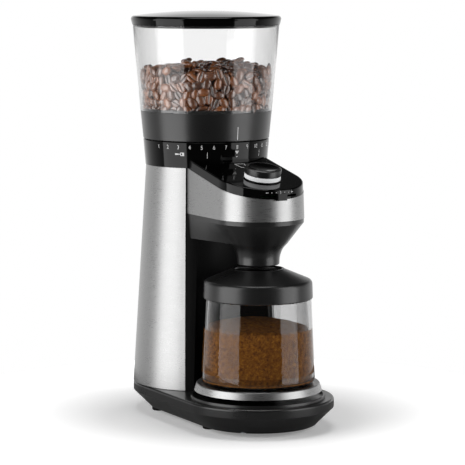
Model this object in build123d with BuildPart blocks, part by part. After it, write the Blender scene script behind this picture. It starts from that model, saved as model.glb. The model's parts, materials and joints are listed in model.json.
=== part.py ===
"""Burr coffee grinder with a built-in scale, in millimetres, +Z up.

The origin is on the table, under the middle of the whole grinder. The bean hopper, the burrs, the gearbox
and the motor share one upright axis at the back. The spout, the jar and the scale share a second one in
front of it. The front faces -Y.
"""

import os
from math import acos, cos, pi, radians, sin, sqrt, tan

from build123d import *

os.makedirs("parts", exist_ok=True)

# ---------------------------------------------------------------- driving dimensions
AXIS_GAP = 107.0  # from the hopper axis forward to the spout axis
LID_R = 75.0
BASE_R = 73.8  # half width of the stadium-shaped base
HALF_DEPTH = (LID_R + AXIS_GAP + BASE_R) / 2
HOPPER_Y = HALF_DEPTH - LID_R
SPOUT_Y = HOPPER_Y - AXIS_GAP
MIDDLE_Y = (HOPPER_Y + SPOUT_Y) / 2

FOOT_H = 4.0
BASE_SPLIT_Z = 21.0  # joint between the two halves of the base
BASE_TOP_Z = 30.0
SHELL_FOOT_Z = 30.4
COLUMN_TOP_Z = 249.0
SHELL_FOOT_R = 73.9
SHELL_TOP_R = 60.3
SHEET = 0.8  # steel sheet thickness
WALL = 2.5  # moulded wall thickness

COLLAR_TOP_Z = 274.2
COLLAR_TOP_R = 63.0
COLLAR_FOOT_R = 60.9
BAND_FOOT_Z = 275.0  # dark band of the hopper
BAND_TOP_Z = 302.5
HOPPER_TOP_Z = 387.8
LID_TOP_Z = 401.3

NOSE_FOOT_Z = 204.8
NOSE_FOOT_W = 44.4  # half width of the nose where it is widest
NOSE_TAPER = 1.86  # degrees that its sides lean in
ARM_FOOT_Z = 180.5
PANEL_TILT = 12.0  # degrees that the control panel slopes down to the front
PANEL_SEAT_Z = 235.2  # panel's lower face over the spout axis
PANEL_H = 8.7
SPOUT_FOOT_Z = 159.5
SPOUT_R = 20.5

PLATFORM_TOP_Z = 44.0
PLATFORM_FOOT_Z = 36.8
PLATFORM_R = 62.1
JAR_FOOT_Z = PLATFORM_TOP_Z + 0.1
JAR_LID_FOOT_Z = 126.7
JAR_LID_TOP_Z = 155.5
RECESS_R = 66.5  # round recess of the column front, round the jar

SHAFT_R = 4.0
COUNTER_Y = 25.0  # from the burr shaft back to the counter gear
GEAR_MODULE = 1.0
PINION_TEETH = 12
COUNTER_TEETH = 38
COUNTER_PINION_TEETH = 14
OUTPUT_TEETH = 36
FIT = 0.05  # radial clearance of pressed and running fits

HOPPER = Plane(origin=(0, HOPPER_Y, 0), x_dir=(1, 0, 0), z_dir=(0, -1, 0))
SPOUT = Plane(origin=(0, SPOUT_Y, 0), x_dir=(1, 0, 0), z_dir=(0, -1, 0))
HOPPER_AXIS = Axis((0, HOPPER_Y, 0), (0, 0, 1))
SPOUT_AXIS = Axis((0, SPOUT_Y, 0), (0, 0, 1))

tilt_z = (0, -sin(radians(PANEL_TILT)), cos(radians(PANEL_TILT)))
PANEL_SEAT = Plane(origin=(0, SPOUT_Y, PANEL_SEAT_Z), x_dir=(1, 0, 0), z_dir=tilt_z)
PANEL_FACE = PANEL_SEAT.offset(PANEL_H)
DIAL_SHIFT = -5.8  # from the spout axis to the dial, down the slope
dial_face = Plane(origin=PANEL_FACE.from_local_coords((0, DIAL_SHIFT, 0)), x_dir=(1, 0, 0), z_dir=tilt_z)
down_slope = (0, -cos(radians(PANEL_TILT)), -sin(radians(PANEL_TILT)))
DIAL = Plane(origin=dial_face.origin, x_dir=(1, 0, 0), z_dir=down_slope)
DIAL_AXIS = Axis(dial_face.origin, tilt_z)


# ---------------------------------------------------------------- shared shapes
def shell_r(z):
    """Outer radius of the tapered steel column at height z."""
    return SHELL_FOOT_R + (SHELL_TOP_R - SHELL_FOOT_R) * (z - SHELL_FOOT_Z) / (COLUMN_TOP_Z - SHELL_FOOT_Z)


def turn(plane, axis, points, mode=Mode.ADD):
    """Revolve a closed outline of straight edges, given as radius and height."""
    with BuildSketch(plane) as section:
        with BuildLine():
            Polyline(*points, close=True)
        make_face()
    revolve(section.sketch, axis=axis, mode=mode)


def tube(plane, axis, inner, outer, low, high, mode=Mode.ADD):
    """Plain ring or, with no inner radius, disc."""
    turn(plane, axis, [(inner, low), (outer, low), (outer, high), (inner, high)], mode)


def stadium(half_width, z):
    """Rounded outline round both upright axes."""
    with BuildSketch(Plane.XY.offset(z)) as outline:
        with Locations((0, MIDDLE_Y)):
            SlotCenterToCenter(AXIS_GAP, 2 * half_width, rotation=90)
    return outline.sketch


def nose_block(half_width, low, high, mode=Mode.ADD):
    """Upright stadium with the nose's taper, whose half width is given at the nose's foot."""
    lean = tan(radians(NOSE_TAPER))
    foot = stadium(half_width - lean * (low - NOSE_FOOT_Z), low)
    extrude(foot, amount=high - low, taper=NOSE_TAPER, mode=mode)


def column_cone(offset, low, high, mode=Mode.ADD):
    """Solid cone that stands inside the column's surface by the offset."""
    turn(
        HOPPER,
        HOPPER_AXIS,
        [(0, low), (shell_r(low) - offset, low), (shell_r(high) - offset, high), (0, high)],
        mode,
    )


def gear(plane_z, teeth, width, y, first_angle):
    """Spur gear with involute flanks, its first tooth at the given angle."""
    pitch_r = GEAR_MODULE * teeth / 2
    base_r = pitch_r * cos(radians(20))
    root_r = pitch_r - 1.2 * GEAR_MODULE
    tip_r = pitch_r + 0.85 * GEAR_MODULE
    half_pitch = (pi * GEAR_MODULE / 2 - 0.34) / (2 * pitch_r)
    involute_20 = tan(radians(20)) - radians(20)

    def half_tooth(r):
        pressure = acos(min(1.0, base_r / r))
        return half_pitch + involute_20 - (tan(pressure) - pressure)

    flank = [root_r, max(base_r, root_r + 0.1), pitch_r, (pitch_r + tip_r) / 2, tip_r]
    points = []
    for tooth in range(teeth):
        centre = radians(first_angle) + 2 * pi * tooth / teeth
        for r in flank:
            points.append((r * cos(centre - half_tooth(r)), r * sin(centre - half_tooth(r))))
        for r in reversed(flank):
            points.append((r * cos(centre + half_tooth(r)), r * sin(centre + half_tooth(r))))
    with BuildSketch(Plane((0, y, plane_z))) as outline:
        with BuildLine():
            Polyline(*points, close=True)
        make_face()
    extrude(outline.sketch, amount=width)


def export(part, name):
    """Label a finished piece and write it to its own file."""
    part.label = name
    export_step(part, f"parts/{name}.step")


# ---------------------------------------------------------------- base
SCREW_SPOTS = [(x, y) for y in (HOPPER_Y + 32, MIDDLE_Y, SPOUT_Y - 40) for x in (-38, 38)]
FOOT_SPOTS = [(x, HOPPER_Y + y) for x, y in ((28, 41), (48, 13), (47, -94))]
CHAMFER_H = BASE_SPLIT_Z - FOOT_H
LOAD_CELL_L = 76.0
LOAD_CELL_FIXED_Y = SPOUT_Y - 29
LOAD_CELL_FREE_Y = SPOUT_Y + 29

with BuildPart() as base_pan:
    add(stadium(BASE_R - CHAMFER_H, FOOT_H))
    add(stadium(BASE_R, BASE_SPLIT_Z))
    loft(ruled=True)
    with BuildPart(mode=Mode.PRIVATE) as pan_hollow:
        add(stadium(BASE_R - CHAMFER_H - 1, FOOT_H + WALL))
        add(stadium(BASE_R - WALL, BASE_SPLIT_Z + 0.5))
        loft(ruled=True)
    add(pan_hollow.part, mode=Mode.SUBTRACT)
    with BuildSketch(Plane.XY.offset(FOOT_H + WALL)):
        with Locations(*SCREW_SPOTS):
            Circle(4.5)
    extrude(amount=11.5)
    with BuildSketch(Plane.XY.offset(FOOT_H + WALL)):
        with Locations((0, LOAD_CELL_FIXED_Y)):
            Rectangle(20, 20)
    extrude(amount=5.5)
    with Locations(*[(x, y, FOOT_H) for x, y in SCREW_SPOTS]):
        CounterBoreHole(radius=1.6, counter_bore_radius=3.3, counter_bore_depth=2.4, depth=20)
export(base_pan.part, "base_pan")

DECK_LOW_Z = BASE_TOP_Z - WALL
with BuildPart() as base_top:
    extrude(stadium(BASE_R, BASE_SPLIT_Z), amount=BASE_TOP_Z - BASE_SPLIT_Z)
    fillet(base_top.faces().sort_by(Axis.Z)[-1].edges(), radius=2.2)
    extrude(stadium(BASE_R - WALL, BASE_SPLIT_Z), amount=DECK_LOW_Z - BASE_SPLIT_Z, mode=Mode.SUBTRACT)
    with BuildSketch(Plane.XY.offset(FOOT_H + WALL + 11.5)):
        with Locations(*SCREW_SPOTS):
            Circle(4.5)
    extrude(until=Until.NEXT)
    turn(SPOUT, SPOUT_AXIS, [(62.9, BASE_TOP_Z), (65.6, BASE_TOP_Z), (65.2, 32.2), (63.3, 32.2)])
    with BuildSketch(Plane.XY.offset(DECK_LOW_Z)):
        with Locations((0, LOAD_CELL_FREE_Y)):
            Rectangle(22, 26)
        with Locations((0, HOPPER_Y)):
            Circle(20)
    extrude(amount=WALL, mode=Mode.SUBTRACT)
    with Locations(*[(x, HOPPER_Y + 51.7, BASE_TOP_Z) for x in (-24, 24)]):
        Box(6, 4, 20, align=(Align.CENTER, Align.CENTER, Align.MIN))
    with BuildSketch(Plane.XY.offset(FOOT_H + WALL + 11.5)):
        with Locations(*SCREW_SPOTS):
            Circle(1.6)
    extrude(amount=8.0, mode=Mode.SUBTRACT)
export(base_top.part, "base_top")

with BuildPart() as feet:
    with BuildSketch():
        with Locations(*FOOT_SPOTS, *[(-x, y) for x, y in FOOT_SPOTS]):
            Circle(6.5)
    extrude(amount=FOOT_H)
    chamfer(feet.edges().group_by(Axis.Z)[0], length=0.8)
export(feet.part, "feet")

with BuildPart() as base_screws:
    with BuildSketch(Plane.XY.offset(FOOT_H + 0.4)):
        with Locations(*SCREW_SPOTS):
            Circle(2.9)
    extrude(amount=2.0)
    with BuildSketch(Plane.XY.offset(FOOT_H + 2.4)):
        with Locations(*SCREW_SPOTS):
            Circle(1.5)
    extrude(amount=18.0)
    with BuildSketch(Plane.XY.offset(FOOT_H + 0.4)):
        with Locations(*SCREW_SPOTS):
            RegularPolygon(1.2, 6)
    extrude(amount=1.2, mode=Mode.SUBTRACT)
export(base_screws.part, "base_screws")

# ---------------------------------------------------------------- scale
LOAD_CELL_LOW_Z = 12.0
LOAD_CELL_H = 12.0
with BuildPart() as load_cell:
    with Locations((0, SPOUT_Y, LOAD_CELL_LOW_Z)):
        Box(12, LOAD_CELL_L, LOAD_CELL_H, align=(Align.CENTER, Align.CENTER, Align.MIN))
    with BuildSketch(Plane(origin=(-10, SPOUT_Y, LOAD_CELL_LOW_Z + 6), x_dir=(0, 1, 0), z_dir=(1, 0, 0))):
        SlotCenterToCenter(16, 4)
        with Locations((-8, 0), (8, 0)):
            Circle(4.2)
    extrude(amount=20, mode=Mode.SUBTRACT)
    with BuildSketch(Plane.XY.offset(LOAD_CELL_LOW_Z)):
        with Locations((0, LOAD_CELL_FIXED_Y - 5), (0, LOAD_CELL_FIXED_Y + 5)):
            Circle(2.05)
    extrude(amount=8, mode=Mode.SUBTRACT)
export(load_cell.part, "load_cell")

with BuildPart() as load_cell_screws:
    with BuildSketch(Plane.XY.offset(LOAD_CELL_LOW_Z)):
        with Locations((0, LOAD_CELL_FIXED_Y - 5), (0, LOAD_CELL_FIXED_Y + 5)):
            Circle(2.0)
    extrude(amount=7.5)
export(load_cell_screws.part, "load_cell_screws")

with BuildPart() as platform_hub:
    tube(SPOUT, SPOUT_AXIS, 0, 57.5, 39.2, PLATFORM_TOP_Z - 1.4)
    with Locations((0, LOAD_CELL_FREE_Y, LOAD_CELL_LOW_Z + LOAD_CELL_H)):
        Box(12, 16, 16, align=(Align.CENTER, Align.CENTER, Align.MIN))
export(platform_hub.part, "platform_hub")

with BuildPart() as platform_cover:
    turn(
        SPOUT,
        SPOUT_AXIS,
        [
            (0, PLATFORM_TOP_Z),
            (59.3, PLATFORM_TOP_Z),
            (60.0, PLATFORM_TOP_Z - 0.8),
            (PLATFORM_R, PLATFORM_FOOT_Z),
            (PLATFORM_R - 1.2, PLATFORM_FOOT_Z),
            (58.8, PLATFORM_TOP_Z - 1.4),
            (0, PLATFORM_TOP_Z - 1.4),
        ],
    )
export(platform_cover.part, "platform_cover")

# ---------------------------------------------------------------- grounds jar
JAR_WALL = 2.4
with BuildPart() as grounds_jar:
    with BuildSketch(SPOUT):
        with BuildLine():
            Line((0, JAR_FOOT_Z), (51.0, JAR_FOOT_Z))
            ThreePointArc((51.0, JAR_FOOT_Z), (54.6, 46.2), (55.9, 50.5))
            Line((55.9, 50.5), (51.5, JAR_LID_FOOT_Z - 0.4))
            Line((51.5, JAR_LID_FOOT_Z - 0.4), (49.8, JAR_LID_FOOT_Z - 0.2))
            Line((49.8, JAR_LID_FOOT_Z - 0.2), (49.8, 141.0))
            Line((49.8, 141.0), (49.8 - JAR_WALL, 141.0))
            Line((49.8 - JAR_WALL, 141.0), (49.8 - JAR_WALL, JAR_LID_FOOT_Z))
            Line((49.8 - JAR_WALL, JAR_LID_FOOT_Z), (55.9 - JAR_WALL, 50.5))
            ThreePointArc((55.9 - JAR_WALL, 50.5), (52.4, 47.9), (49.6, 47.0))
            Line((49.6, 47.0), (0, 47.0))
            Line((0, 47.0), (0, JAR_FOOT_Z))
        make_face()
    revolve(axis=SPOUT_AXIS)
export(grounds_jar.part, "grounds_jar")

LID_HOLE_R = 22.0
with BuildPart() as jar_lid:
    with BuildSketch(SPOUT):
        with BuildLine():
            Line((50.3, JAR_LID_FOOT_Z), (52.5, JAR_LID_FOOT_Z))
            Line((52.5, JAR_LID_FOOT_Z), (52.95, JAR_LID_FOOT_Z + 0.8))
            Line((52.95, JAR_LID_FOOT_Z + 0.8), (52.5, 140.6))
            ThreePointArc((52.5, 140.6), (51.7, 143.0), (49.6, 144.7))
            Line((49.6, 144.7), (26.0, 154.6))
            ThreePointArc((26.0, 154.6), (23.6, JAR_LID_TOP_Z), (LID_HOLE_R, 153.4))
            Line((LID_HOLE_R, 153.4), (LID_HOLE_R, 151.0))
            Line((LID_HOLE_R, 151.0), (24.5, 152.6))
            Line((24.5, 152.6), (50.3, 142.0))
            Line((50.3, 142.0), (50.3, JAR_LID_FOOT_Z))
        make_face()
    revolve(axis=SPOUT_AXIS)
export(jar_lid.part, "jar_lid")

# ---------------------------------------------------------------- column
SKIN_GAP = SHEET + 0.1  # from the steel's outer face to the moulded column
with BuildPart() as column_housing:
    column_cone(SKIN_GAP, BASE_TOP_Z, COLUMN_TOP_Z)
    tube(SPOUT, SPOUT_AXIS, 0, RECESS_R, BASE_TOP_Z, ARM_FOOT_Z, Mode.SUBTRACT)
    with BuildPart(mode=Mode.PRIVATE) as column_hollow:
        column_cone(SKIN_GAP + WALL, BASE_TOP_Z - 1, COLUMN_TOP_Z + 1)
        tube(SPOUT, SPOUT_AXIS, 0, RECESS_R + WALL, BASE_TOP_Z - 1, ARM_FOOT_Z + WALL, Mode.SUBTRACT)
    add(column_hollow.part, mode=Mode.SUBTRACT)
    with Locations((0, HOPPER_Y - 55, 200)):
        Box(64, 40, 42, align=(Align.CENTER, Align.CENTER, Align.MIN), mode=Mode.SUBTRACT)
    with Locations(Plane(origin=(0, HOPPER_Y + 60, 47), z_dir=(0, 1, 0))):
        Cylinder(radius=7.2, height=40, mode=Mode.SUBTRACT)
export(column_housing.part, "column_housing")


def front_wedge(z, half_angle):
    """Open front sector of the steel wrap."""
    reach = 160.0
    side = (reach * sin(radians(half_angle)), HOPPER_Y - reach * cos(radians(half_angle)))
    with BuildSketch(Plane.XY.offset(z)) as sector:
        with BuildLine():
            Polyline((0, HOPPER_Y), side, (-side[0], side[1]), close=True)
        make_face()
    return sector.sketch


with BuildPart() as column_shell:
    column_cone(0, SHELL_FOOT_Z, COLUMN_TOP_Z)
    column_cone(SHEET, SHELL_FOOT_Z, COLUMN_TOP_Z, Mode.SUBTRACT)
    with BuildPart(mode=Mode.PRIVATE) as shell_front:
        add(front_wedge(SHELL_FOOT_Z - 1, 44.6))
        add(front_wedge(COLUMN_TOP_Z + 1, 47.4))
        loft(ruled=True)
    add(shell_front.part, mode=Mode.SUBTRACT)
    with Locations(Plane(origin=(0, HOPPER_Y + 60, 47), z_dir=(0, 1, 0))):
        Cylinder(radius=7.2, height=40, mode=Mode.SUBTRACT)
export(column_shell.part, "column_shell")

with BuildPart() as cord_bushing:
    bushing_axis = Axis((0, HOPPER_Y, 47), (0, 1, 0))
    with BuildSketch(Plane(origin=(0, HOPPER_Y, 47), x_dir=(1, 0, 0), z_dir=(0, 0, 1))):
        with BuildLine():
            Polyline(
                (4, 66),
                (9, 66),
                (9, 68),
                (7.1, 68),
                (7.1, 73.4),
                (9, 73.4),
                (8.4, 74.6),
                (5, 74.8),
                (4, 74),
                close=True,
            )
        make_face()
    revolve(axis=bushing_axis)
export(cord_bushing.part, "cord_bushing")

RELEASE_TURN = 7.2  # degrees from the front to the middle of the release pocket
RELEASE_W = 13.4
RELEASE_H = 7.4
RELEASE_DEPTH = 1.6
release_spot = (
    -COLLAR_TOP_R * sin(radians(RELEASE_TURN)),
    HOPPER_Y - COLLAR_TOP_R * cos(radians(RELEASE_TURN)),
    263.6,
)
with BuildPart() as collar_ring:
    turn(
        HOPPER,
        HOPPER_AXIS,
        [
            (48, COLUMN_TOP_Z),
            (COLLAR_FOOT_R, COLUMN_TOP_Z),
            (COLLAR_TOP_R, COLLAR_TOP_Z - 0.4),
            (COLLAR_TOP_R - 0.4, COLLAR_TOP_Z),
            (58, COLLAR_TOP_Z),
            (58, 252),
            (48, 252),
        ],
    )
    with Locations(Location(release_spot, (0, 0, 1), -RELEASE_TURN)):
        Box(RELEASE_W, 2 * RELEASE_DEPTH, RELEASE_H, mode=Mode.SUBTRACT)
export(collar_ring.part, "collar_ring")

# ---------------------------------------------------------------- power board
with BuildPart() as power_board:
    with Locations((0, HOPPER_Y + 48.9, BASE_TOP_Z)):
        Box(56, 1.6, 72, align=(Align.CENTER, Align.CENTER, Align.MIN))
    with Locations((-14, HOPPER_Y + 42.1, 52)):
        Box(20, 12, 18)
    with Locations((14, HOPPER_Y + 44.1, 56)):
        Box(14, 8, 12)
    with Locations(Plane(origin=(12, HOPPER_Y + 48.1, 76), z_dir=(0, -1, 0))):
        with Locations((-8, 0), (8, 0)):
            Cylinder(radius=5, height=10, align=(Align.CENTER, Align.CENTER, Align.MIN))
    with Locations((0, HOPPER_Y + 45.1, 93)):
        Box(34, 6, 7)
export(power_board.part, "power_board")

# ---------------------------------------------------------------- motor
MOTOR_R = 27.0
MOTOR_TOP_Z = 150.0
with BuildPart() as motor_cradle:
    turn(
        HOPPER,
        HOPPER_AXIS,
        [
            (26, 30),
            (36, 30),
            (36, 33),
            (30, 33),
            (30, 74),
            (27.3, 74),
            (27.3, 62),
            (12, 62),
            (12, 59),
            (26, 59),
        ],
    )
export(motor_cradle.part, "motor_cradle")

with BuildPart() as motor_cushion:
    tube(HOPPER, HOPPER_AXIS, 16, MOTOR_R, 62, 70)
    fillet(motor_cushion.edges(), radius=1.0)
export(motor_cushion.part, "motor_cushion")

with BuildPart() as motor_cap:
    turn(
        HOPPER,
        HOPPER_AXIS,
        [
            (2.5 + FIT, 70),
            (MOTOR_R, 70),
            (MOTOR_R, 78),
            (24.5, 78),
            (24.5, 74),
            (7, 74),
            (7, 77),
            (2.5 + FIT, 77),
        ],
    )
    with Locations((17, HOPPER_Y, 74), (-17, HOPPER_Y, 74)):
        Box(12, 8, 9, align=(Align.CENTER, Align.CENTER, Align.MIN))
export(motor_cap.part, "motor_cap")

with BuildPart() as motor_can:
    tube(HOPPER, HOPPER_AXIS, 2.5 + FIT, MOTOR_R, 78, MOTOR_TOP_Z)
    tube(HOPPER, HOPPER_AXIS, 0, MOTOR_R - 1.5, 78, MOTOR_TOP_Z - 4, Mode.SUBTRACT)
    with Locations(Plane(origin=(0, HOPPER_Y, MOTOR_TOP_Z - 10))):
        with PolarLocations(MOTOR_R, 8):
            Box(6, 4, 3, mode=Mode.SUBTRACT)
export(motor_can.part, "motor_can")

with BuildPart() as motor_stator:
    tube(HOPPER, HOPPER_AXIS, 18, MOTOR_R - 1.6, 90, 136)
    with Locations((0, HOPPER_Y, 113)):
        with PolarLocations(18, 4):
            Box(6, 6, 60, mode=Mode.SUBTRACT)
export(motor_stator.part, "motor_stator")

with BuildPart() as motor_rotor:
    tube(HOPPER, HOPPER_AXIS, 0, 2.5, 71, 163.5)
    tube(HOPPER, HOPPER_AXIS, 0, 8.5, 78.5, 85)
    tube(HOPPER, HOPPER_AXIS, 0, 13.5, 86, 140)
    tube(HOPPER, HOPPER_AXIS, 0, 17.3, 90, 136)
    with Locations((0, HOPPER_Y, 113)):
        with PolarLocations(17.5, 10):
            Box(5, 2.4, 60, mode=Mode.SUBTRACT)
export(motor_rotor.part, "motor_rotor")

with BuildPart() as motor_pinion:
    gear(154, PINION_TEETH, 9, HOPPER_Y, 90)
    tube(HOPPER, HOPPER_AXIS, 0, 2.5, 153, 164, Mode.SUBTRACT)
export(motor_pinion.part, "motor_pinion")

# ---------------------------------------------------------------- gearbox
GEARBOX_Y = HOPPER_Y + COUNTER_Y / 2
EARS = [(x, HOPPER_Y + y) for x in (-28.5, 28.5) for y in (0, COUNTER_Y)]
PLATE_LOW_Z = 165.5
PLATE_TOP_Z = 168.5
GEARBOX_TOP_Z = 193.0


def gearbox_outline(z, inset=0.0):
    """Slot-shaped outline round both gear shafts, with ears for the screws while it isn't inset."""
    with BuildSketch(Plane.XY.offset(z)) as outline:
        with Locations((0, GEARBOX_Y)):
            SlotCenterToCenter(COUNTER_Y, 2 * (25.0 - inset), rotation=90)
        if inset == 0.0:
            with Locations(*EARS):
                Circle(4.5)
    return outline.sketch


def drill(spots, radius, low, high):
    """Straight holes from one height to another."""
    with BuildSketch(Plane.XY.offset(low)) as holes:
        with Locations(*spots):
            Circle(radius)
    extrude(holes.sketch, amount=high - low, mode=Mode.SUBTRACT)


SHAFT_SPOT = (0, HOPPER_Y)
COUNTER_SPOT = (0, HOPPER_Y + COUNTER_Y)
COUNTER_PIN_R = 2.5

with BuildPart() as gearbox_base:
    extrude(gearbox_outline(MOTOR_TOP_Z), amount=PLATE_LOW_Z - MOTOR_TOP_Z)
    extrude(gearbox_outline(MOTOR_TOP_Z + 3, WALL), amount=20, mode=Mode.SUBTRACT)
    drill([SHAFT_SPOT], 7.6, MOTOR_TOP_Z, MOTOR_TOP_Z + 3)
    drill([COUNTER_SPOT], COUNTER_PIN_R + FIT, MOTOR_TOP_Z + 1, MOTOR_TOP_Z + 3)
    drill(EARS, 1.6, MOTOR_TOP_Z + 2, PLATE_LOW_Z)
export(gearbox_base.part, "gearbox_base")

with BuildPart() as gearbox_plate:
    extrude(gearbox_outline(PLATE_LOW_Z), amount=PLATE_TOP_Z - PLATE_LOW_Z)
    drill([SHAFT_SPOT], 7.0 + FIT, PLATE_LOW_Z, PLATE_TOP_Z)
    drill([COUNTER_SPOT], 9.5, PLATE_LOW_Z, PLATE_TOP_Z)
    drill(EARS, 1.6, PLATE_LOW_Z, PLATE_TOP_Z)
export(gearbox_plate.part, "gearbox_plate")

with BuildPart() as gearbox_cover:
    extrude(gearbox_outline(PLATE_TOP_Z), amount=GEARBOX_TOP_Z - PLATE_TOP_Z)
    extrude(gearbox_outline(PLATE_TOP_Z, WALL), amount=GEARBOX_TOP_Z - PLATE_TOP_Z - 3, mode=Mode.SUBTRACT)
    tube(HOPPER, HOPPER_AXIS, 11.0 + FIT, 14, 183, 191)
    drill([SHAFT_SPOT], 6, 190, GEARBOX_TOP_Z)
    drill([COUNTER_SPOT], COUNTER_PIN_R + FIT, 190, 191.5)
    drill(EARS, 1.6, PLATE_TOP_Z, GEARBOX_TOP_Z)
export(gearbox_cover.part, "gearbox_cover")

with BuildPart() as gearbox_screws:
    head_top_z = GEARBOX_TOP_Z + 2.4
    for shank, low, high in ((1.5, MOTOR_TOP_Z + 4, GEARBOX_TOP_Z), (2.8, GEARBOX_TOP_Z, head_top_z)):
        with BuildSketch(Plane.XY.offset(low)):
            with Locations(*EARS):
                Circle(shank)
        extrude(amount=high - low)
export(gearbox_screws.part, "gearbox_screws")

with BuildPart() as upper_bearing:
    tube(HOPPER, HOPPER_AXIS, SHAFT_R + FIT, 11, 183, 190)
    fillet(upper_bearing.edges().filter_by(GeomType.CIRCLE).sort_by(SortBy.RADIUS)[-2:], radius=0.6)
    for face_z in (183, 189.4):
        tube(HOPPER, HOPPER_AXIS, 6.2, 8.8, face_z, face_z + 0.6, Mode.SUBTRACT)
export(upper_bearing.part, "upper_bearing")

with BuildPart() as lower_bush:
    tube(HOPPER, HOPPER_AXIS, SHAFT_R + FIT, 7, 164.8, 171)
export(lower_bush.part, "lower_bush")

with BuildPart() as counter_pin:
    with Locations((*COUNTER_SPOT, MOTOR_TOP_Z + 1)):
        Cylinder(radius=COUNTER_PIN_R, height=40.4, align=(Align.CENTER, Align.CENTER, Align.MIN))
export(counter_pin.part, "counter_pin")

with BuildPart() as counter_gear:
    gear(156, COUNTER_TEETH, 6, HOPPER_Y + COUNTER_Y, 270 + 180 / COUNTER_TEETH)
    gear(171, COUNTER_PINION_TEETH, 11, HOPPER_Y + COUNTER_Y, 270 + 180 / COUNTER_PINION_TEETH)
    with Locations((*COUNTER_SPOT, 155)):
        Cylinder(radius=4.8, height=34, align=(Align.CENTER, Align.CENTER, Align.MIN))
    drill([COUNTER_SPOT], COUNTER_PIN_R + FIT, 150, 195)
export(counter_gear.part, "counter_gear")

with BuildPart() as output_gear:
    gear(172.5, OUTPUT_TEETH, 8, HOPPER_Y, 90)
    tube(HOPPER, HOPPER_AXIS, 0, 8, 171.5, 182)
    tube(HOPPER, HOPPER_AXIS, 0, SHAFT_R + FIT, 170, 184, Mode.SUBTRACT)
    with Locations((0, HOPPER_Y, 176)):
        with PolarLocations(12, 6):
            Cylinder(radius=2.6, height=12, mode=Mode.SUBTRACT)
export(output_gear.part, "output_gear")

# ---------------------------------------------------------------- grinding chamber and burrs
CHAMBER_R = 46.9
CHAMBER_WALL = 2.5
CHAMBER_FLOOR_Z = 214.0
with BuildPart() as grind_chamber:
    turn(
        HOPPER,
        HOPPER_AXIS,
        [
            (4.4, 211),
            (8.05, 211),
            (8.05, 199),
            (11, 199),
            (11, 211),
            (19, 211),
            (19, GEARBOX_TOP_Z),
            (22, GEARBOX_TOP_Z),
            (22, 211),
            (CHAMBER_R, 211),
            (CHAMBER_R, 252),
            (50, 252),
            (50, 255),
            (CHAMBER_R - CHAMBER_WALL, 255),
            (CHAMBER_R - CHAMBER_WALL, 231),
            (40.5, 231),
            (40.5, 228.5),
            (CHAMBER_R - CHAMBER_WALL, 227.5),
            (CHAMBER_R - CHAMBER_WALL, CHAMBER_FLOOR_Z),
            (4.4, CHAMBER_FLOOR_Z),
        ],
    )
    with Locations((0, HOPPER_Y - 45, CHAMBER_FLOOR_Z)):
        Box(20, 14, 13, align=(Align.CENTER, Align.CENTER, Align.MIN), mode=Mode.SUBTRACT)
export(grind_chamber.part, "grind_chamber")

with BuildPart() as shaft_seal:
    turn(
        HOPPER,
        HOPPER_AXIS,
        [
            (SHAFT_R + 0.08, 204),
            (5.2, 203),
            (8.0, 203),
            (8.0, 209),
            (6.6, 209),
            (6.6, 205),
            (SHAFT_R + 0.08, 206),
        ],
    )
export(shaft_seal.part, "shaft_seal")

with BuildPart() as burr_shaft:
    tube(HOPPER, HOPPER_AXIS, 0, SHAFT_R, 166, 262)
    tube(HOPPER, HOPPER_AXIS, 0, 3.0, 262, 268.5)
export(burr_shaft.part, "burr_shaft")

with BuildPart() as impeller:
    tube(HOPPER, HOPPER_AXIS, SHAFT_R + FIT, 12, 216, 226)
    tube(HOPPER, HOPPER_AXIS, SHAFT_R + FIT, 39.6, 219, 221.5)
    with BuildSketch(Plane((0, HOPPER_Y, 221.5))):
        with PolarLocations(30.5, 6):
            Rectangle(17, 2.6)
    extrude(amount=5.5)
export(impeller.part, "impeller")

with BuildPart() as lower_burr:
    turn(
        HOPPER,
        HOPPER_AXIS,
        [(SHAFT_R + FIT, 226), (20.6, 226), (21.0, 231), (19.4, 236), (9.5, 262), (SHAFT_R + FIT, 262)],
    )
    with BuildSketch(Plane((0, HOPPER_Y, 226))):
        with PolarLocations(21.2, 30):
            Rectangle(1.6, 1.2, rotation=25)
    extrude(amount=12, mode=Mode.SUBTRACT)
    with BuildSketch(Plane((0, HOPPER_Y, 238))):
        with PolarLocations(16.5, 6):
            Rectangle(8, 4.5, rotation=35)
    extrude(amount=26, taper=-6, mode=Mode.SUBTRACT)
export(lower_burr.part, "lower_burr")

with BuildPart() as burr_nut:
    with BuildSketch(Plane((0, HOPPER_Y, 262))):
        RegularPolygon(6.2, 6)
        Circle(3.0 + FIT, mode=Mode.SUBTRACT)
    extrude(amount=5)
export(burr_nut.part, "burr_nut")

with BuildPart() as upper_burr:
    turn(
        HOPPER,
        HOPPER_AXIS,
        [(21.9, 231.5), (27.9, 231.5), (27.9, 253.9), (20.5, 253.9), (19.6, 244), (21.1, 236)],
    )
    with BuildSketch(Plane((0, HOPPER_Y, 231))):
        with PolarLocations(21.6, 36):
            Rectangle(1.8, 1.0, rotation=25)
    extrude(amount=24, mode=Mode.SUBTRACT)
export(upper_burr.part, "upper_burr")

CARRIER_R = 43.9
with BuildPart() as burr_carrier:
    turn(
        HOPPER,
        HOPPER_AXIS,
        [(28.0, 236), (CARRIER_R, 236), (CARRIER_R, 268), (36, 268), (23, 254), (28.0, 254)],
    )
    with Locations((0, HOPPER_Y, 236)):
        with PolarLocations(36, 8):
            Cylinder(radius=3.6, height=12, align=(Align.CENTER, Align.CENTER, Align.MIN), mode=Mode.SUBTRACT)
export(burr_carrier.part, "burr_carrier")

with BuildPart() as preload_spring:
    tube(HOPPER, HOPPER_AXIS, 41.2, 43.6, 231, 236)
    with Locations((0, HOPPER_Y, 233.5)):
        with PolarLocations(42.4, 12):
            Box(6, 5, 2.2, mode=Mode.SUBTRACT)
export(preload_spring.part, "preload_spring")

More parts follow.
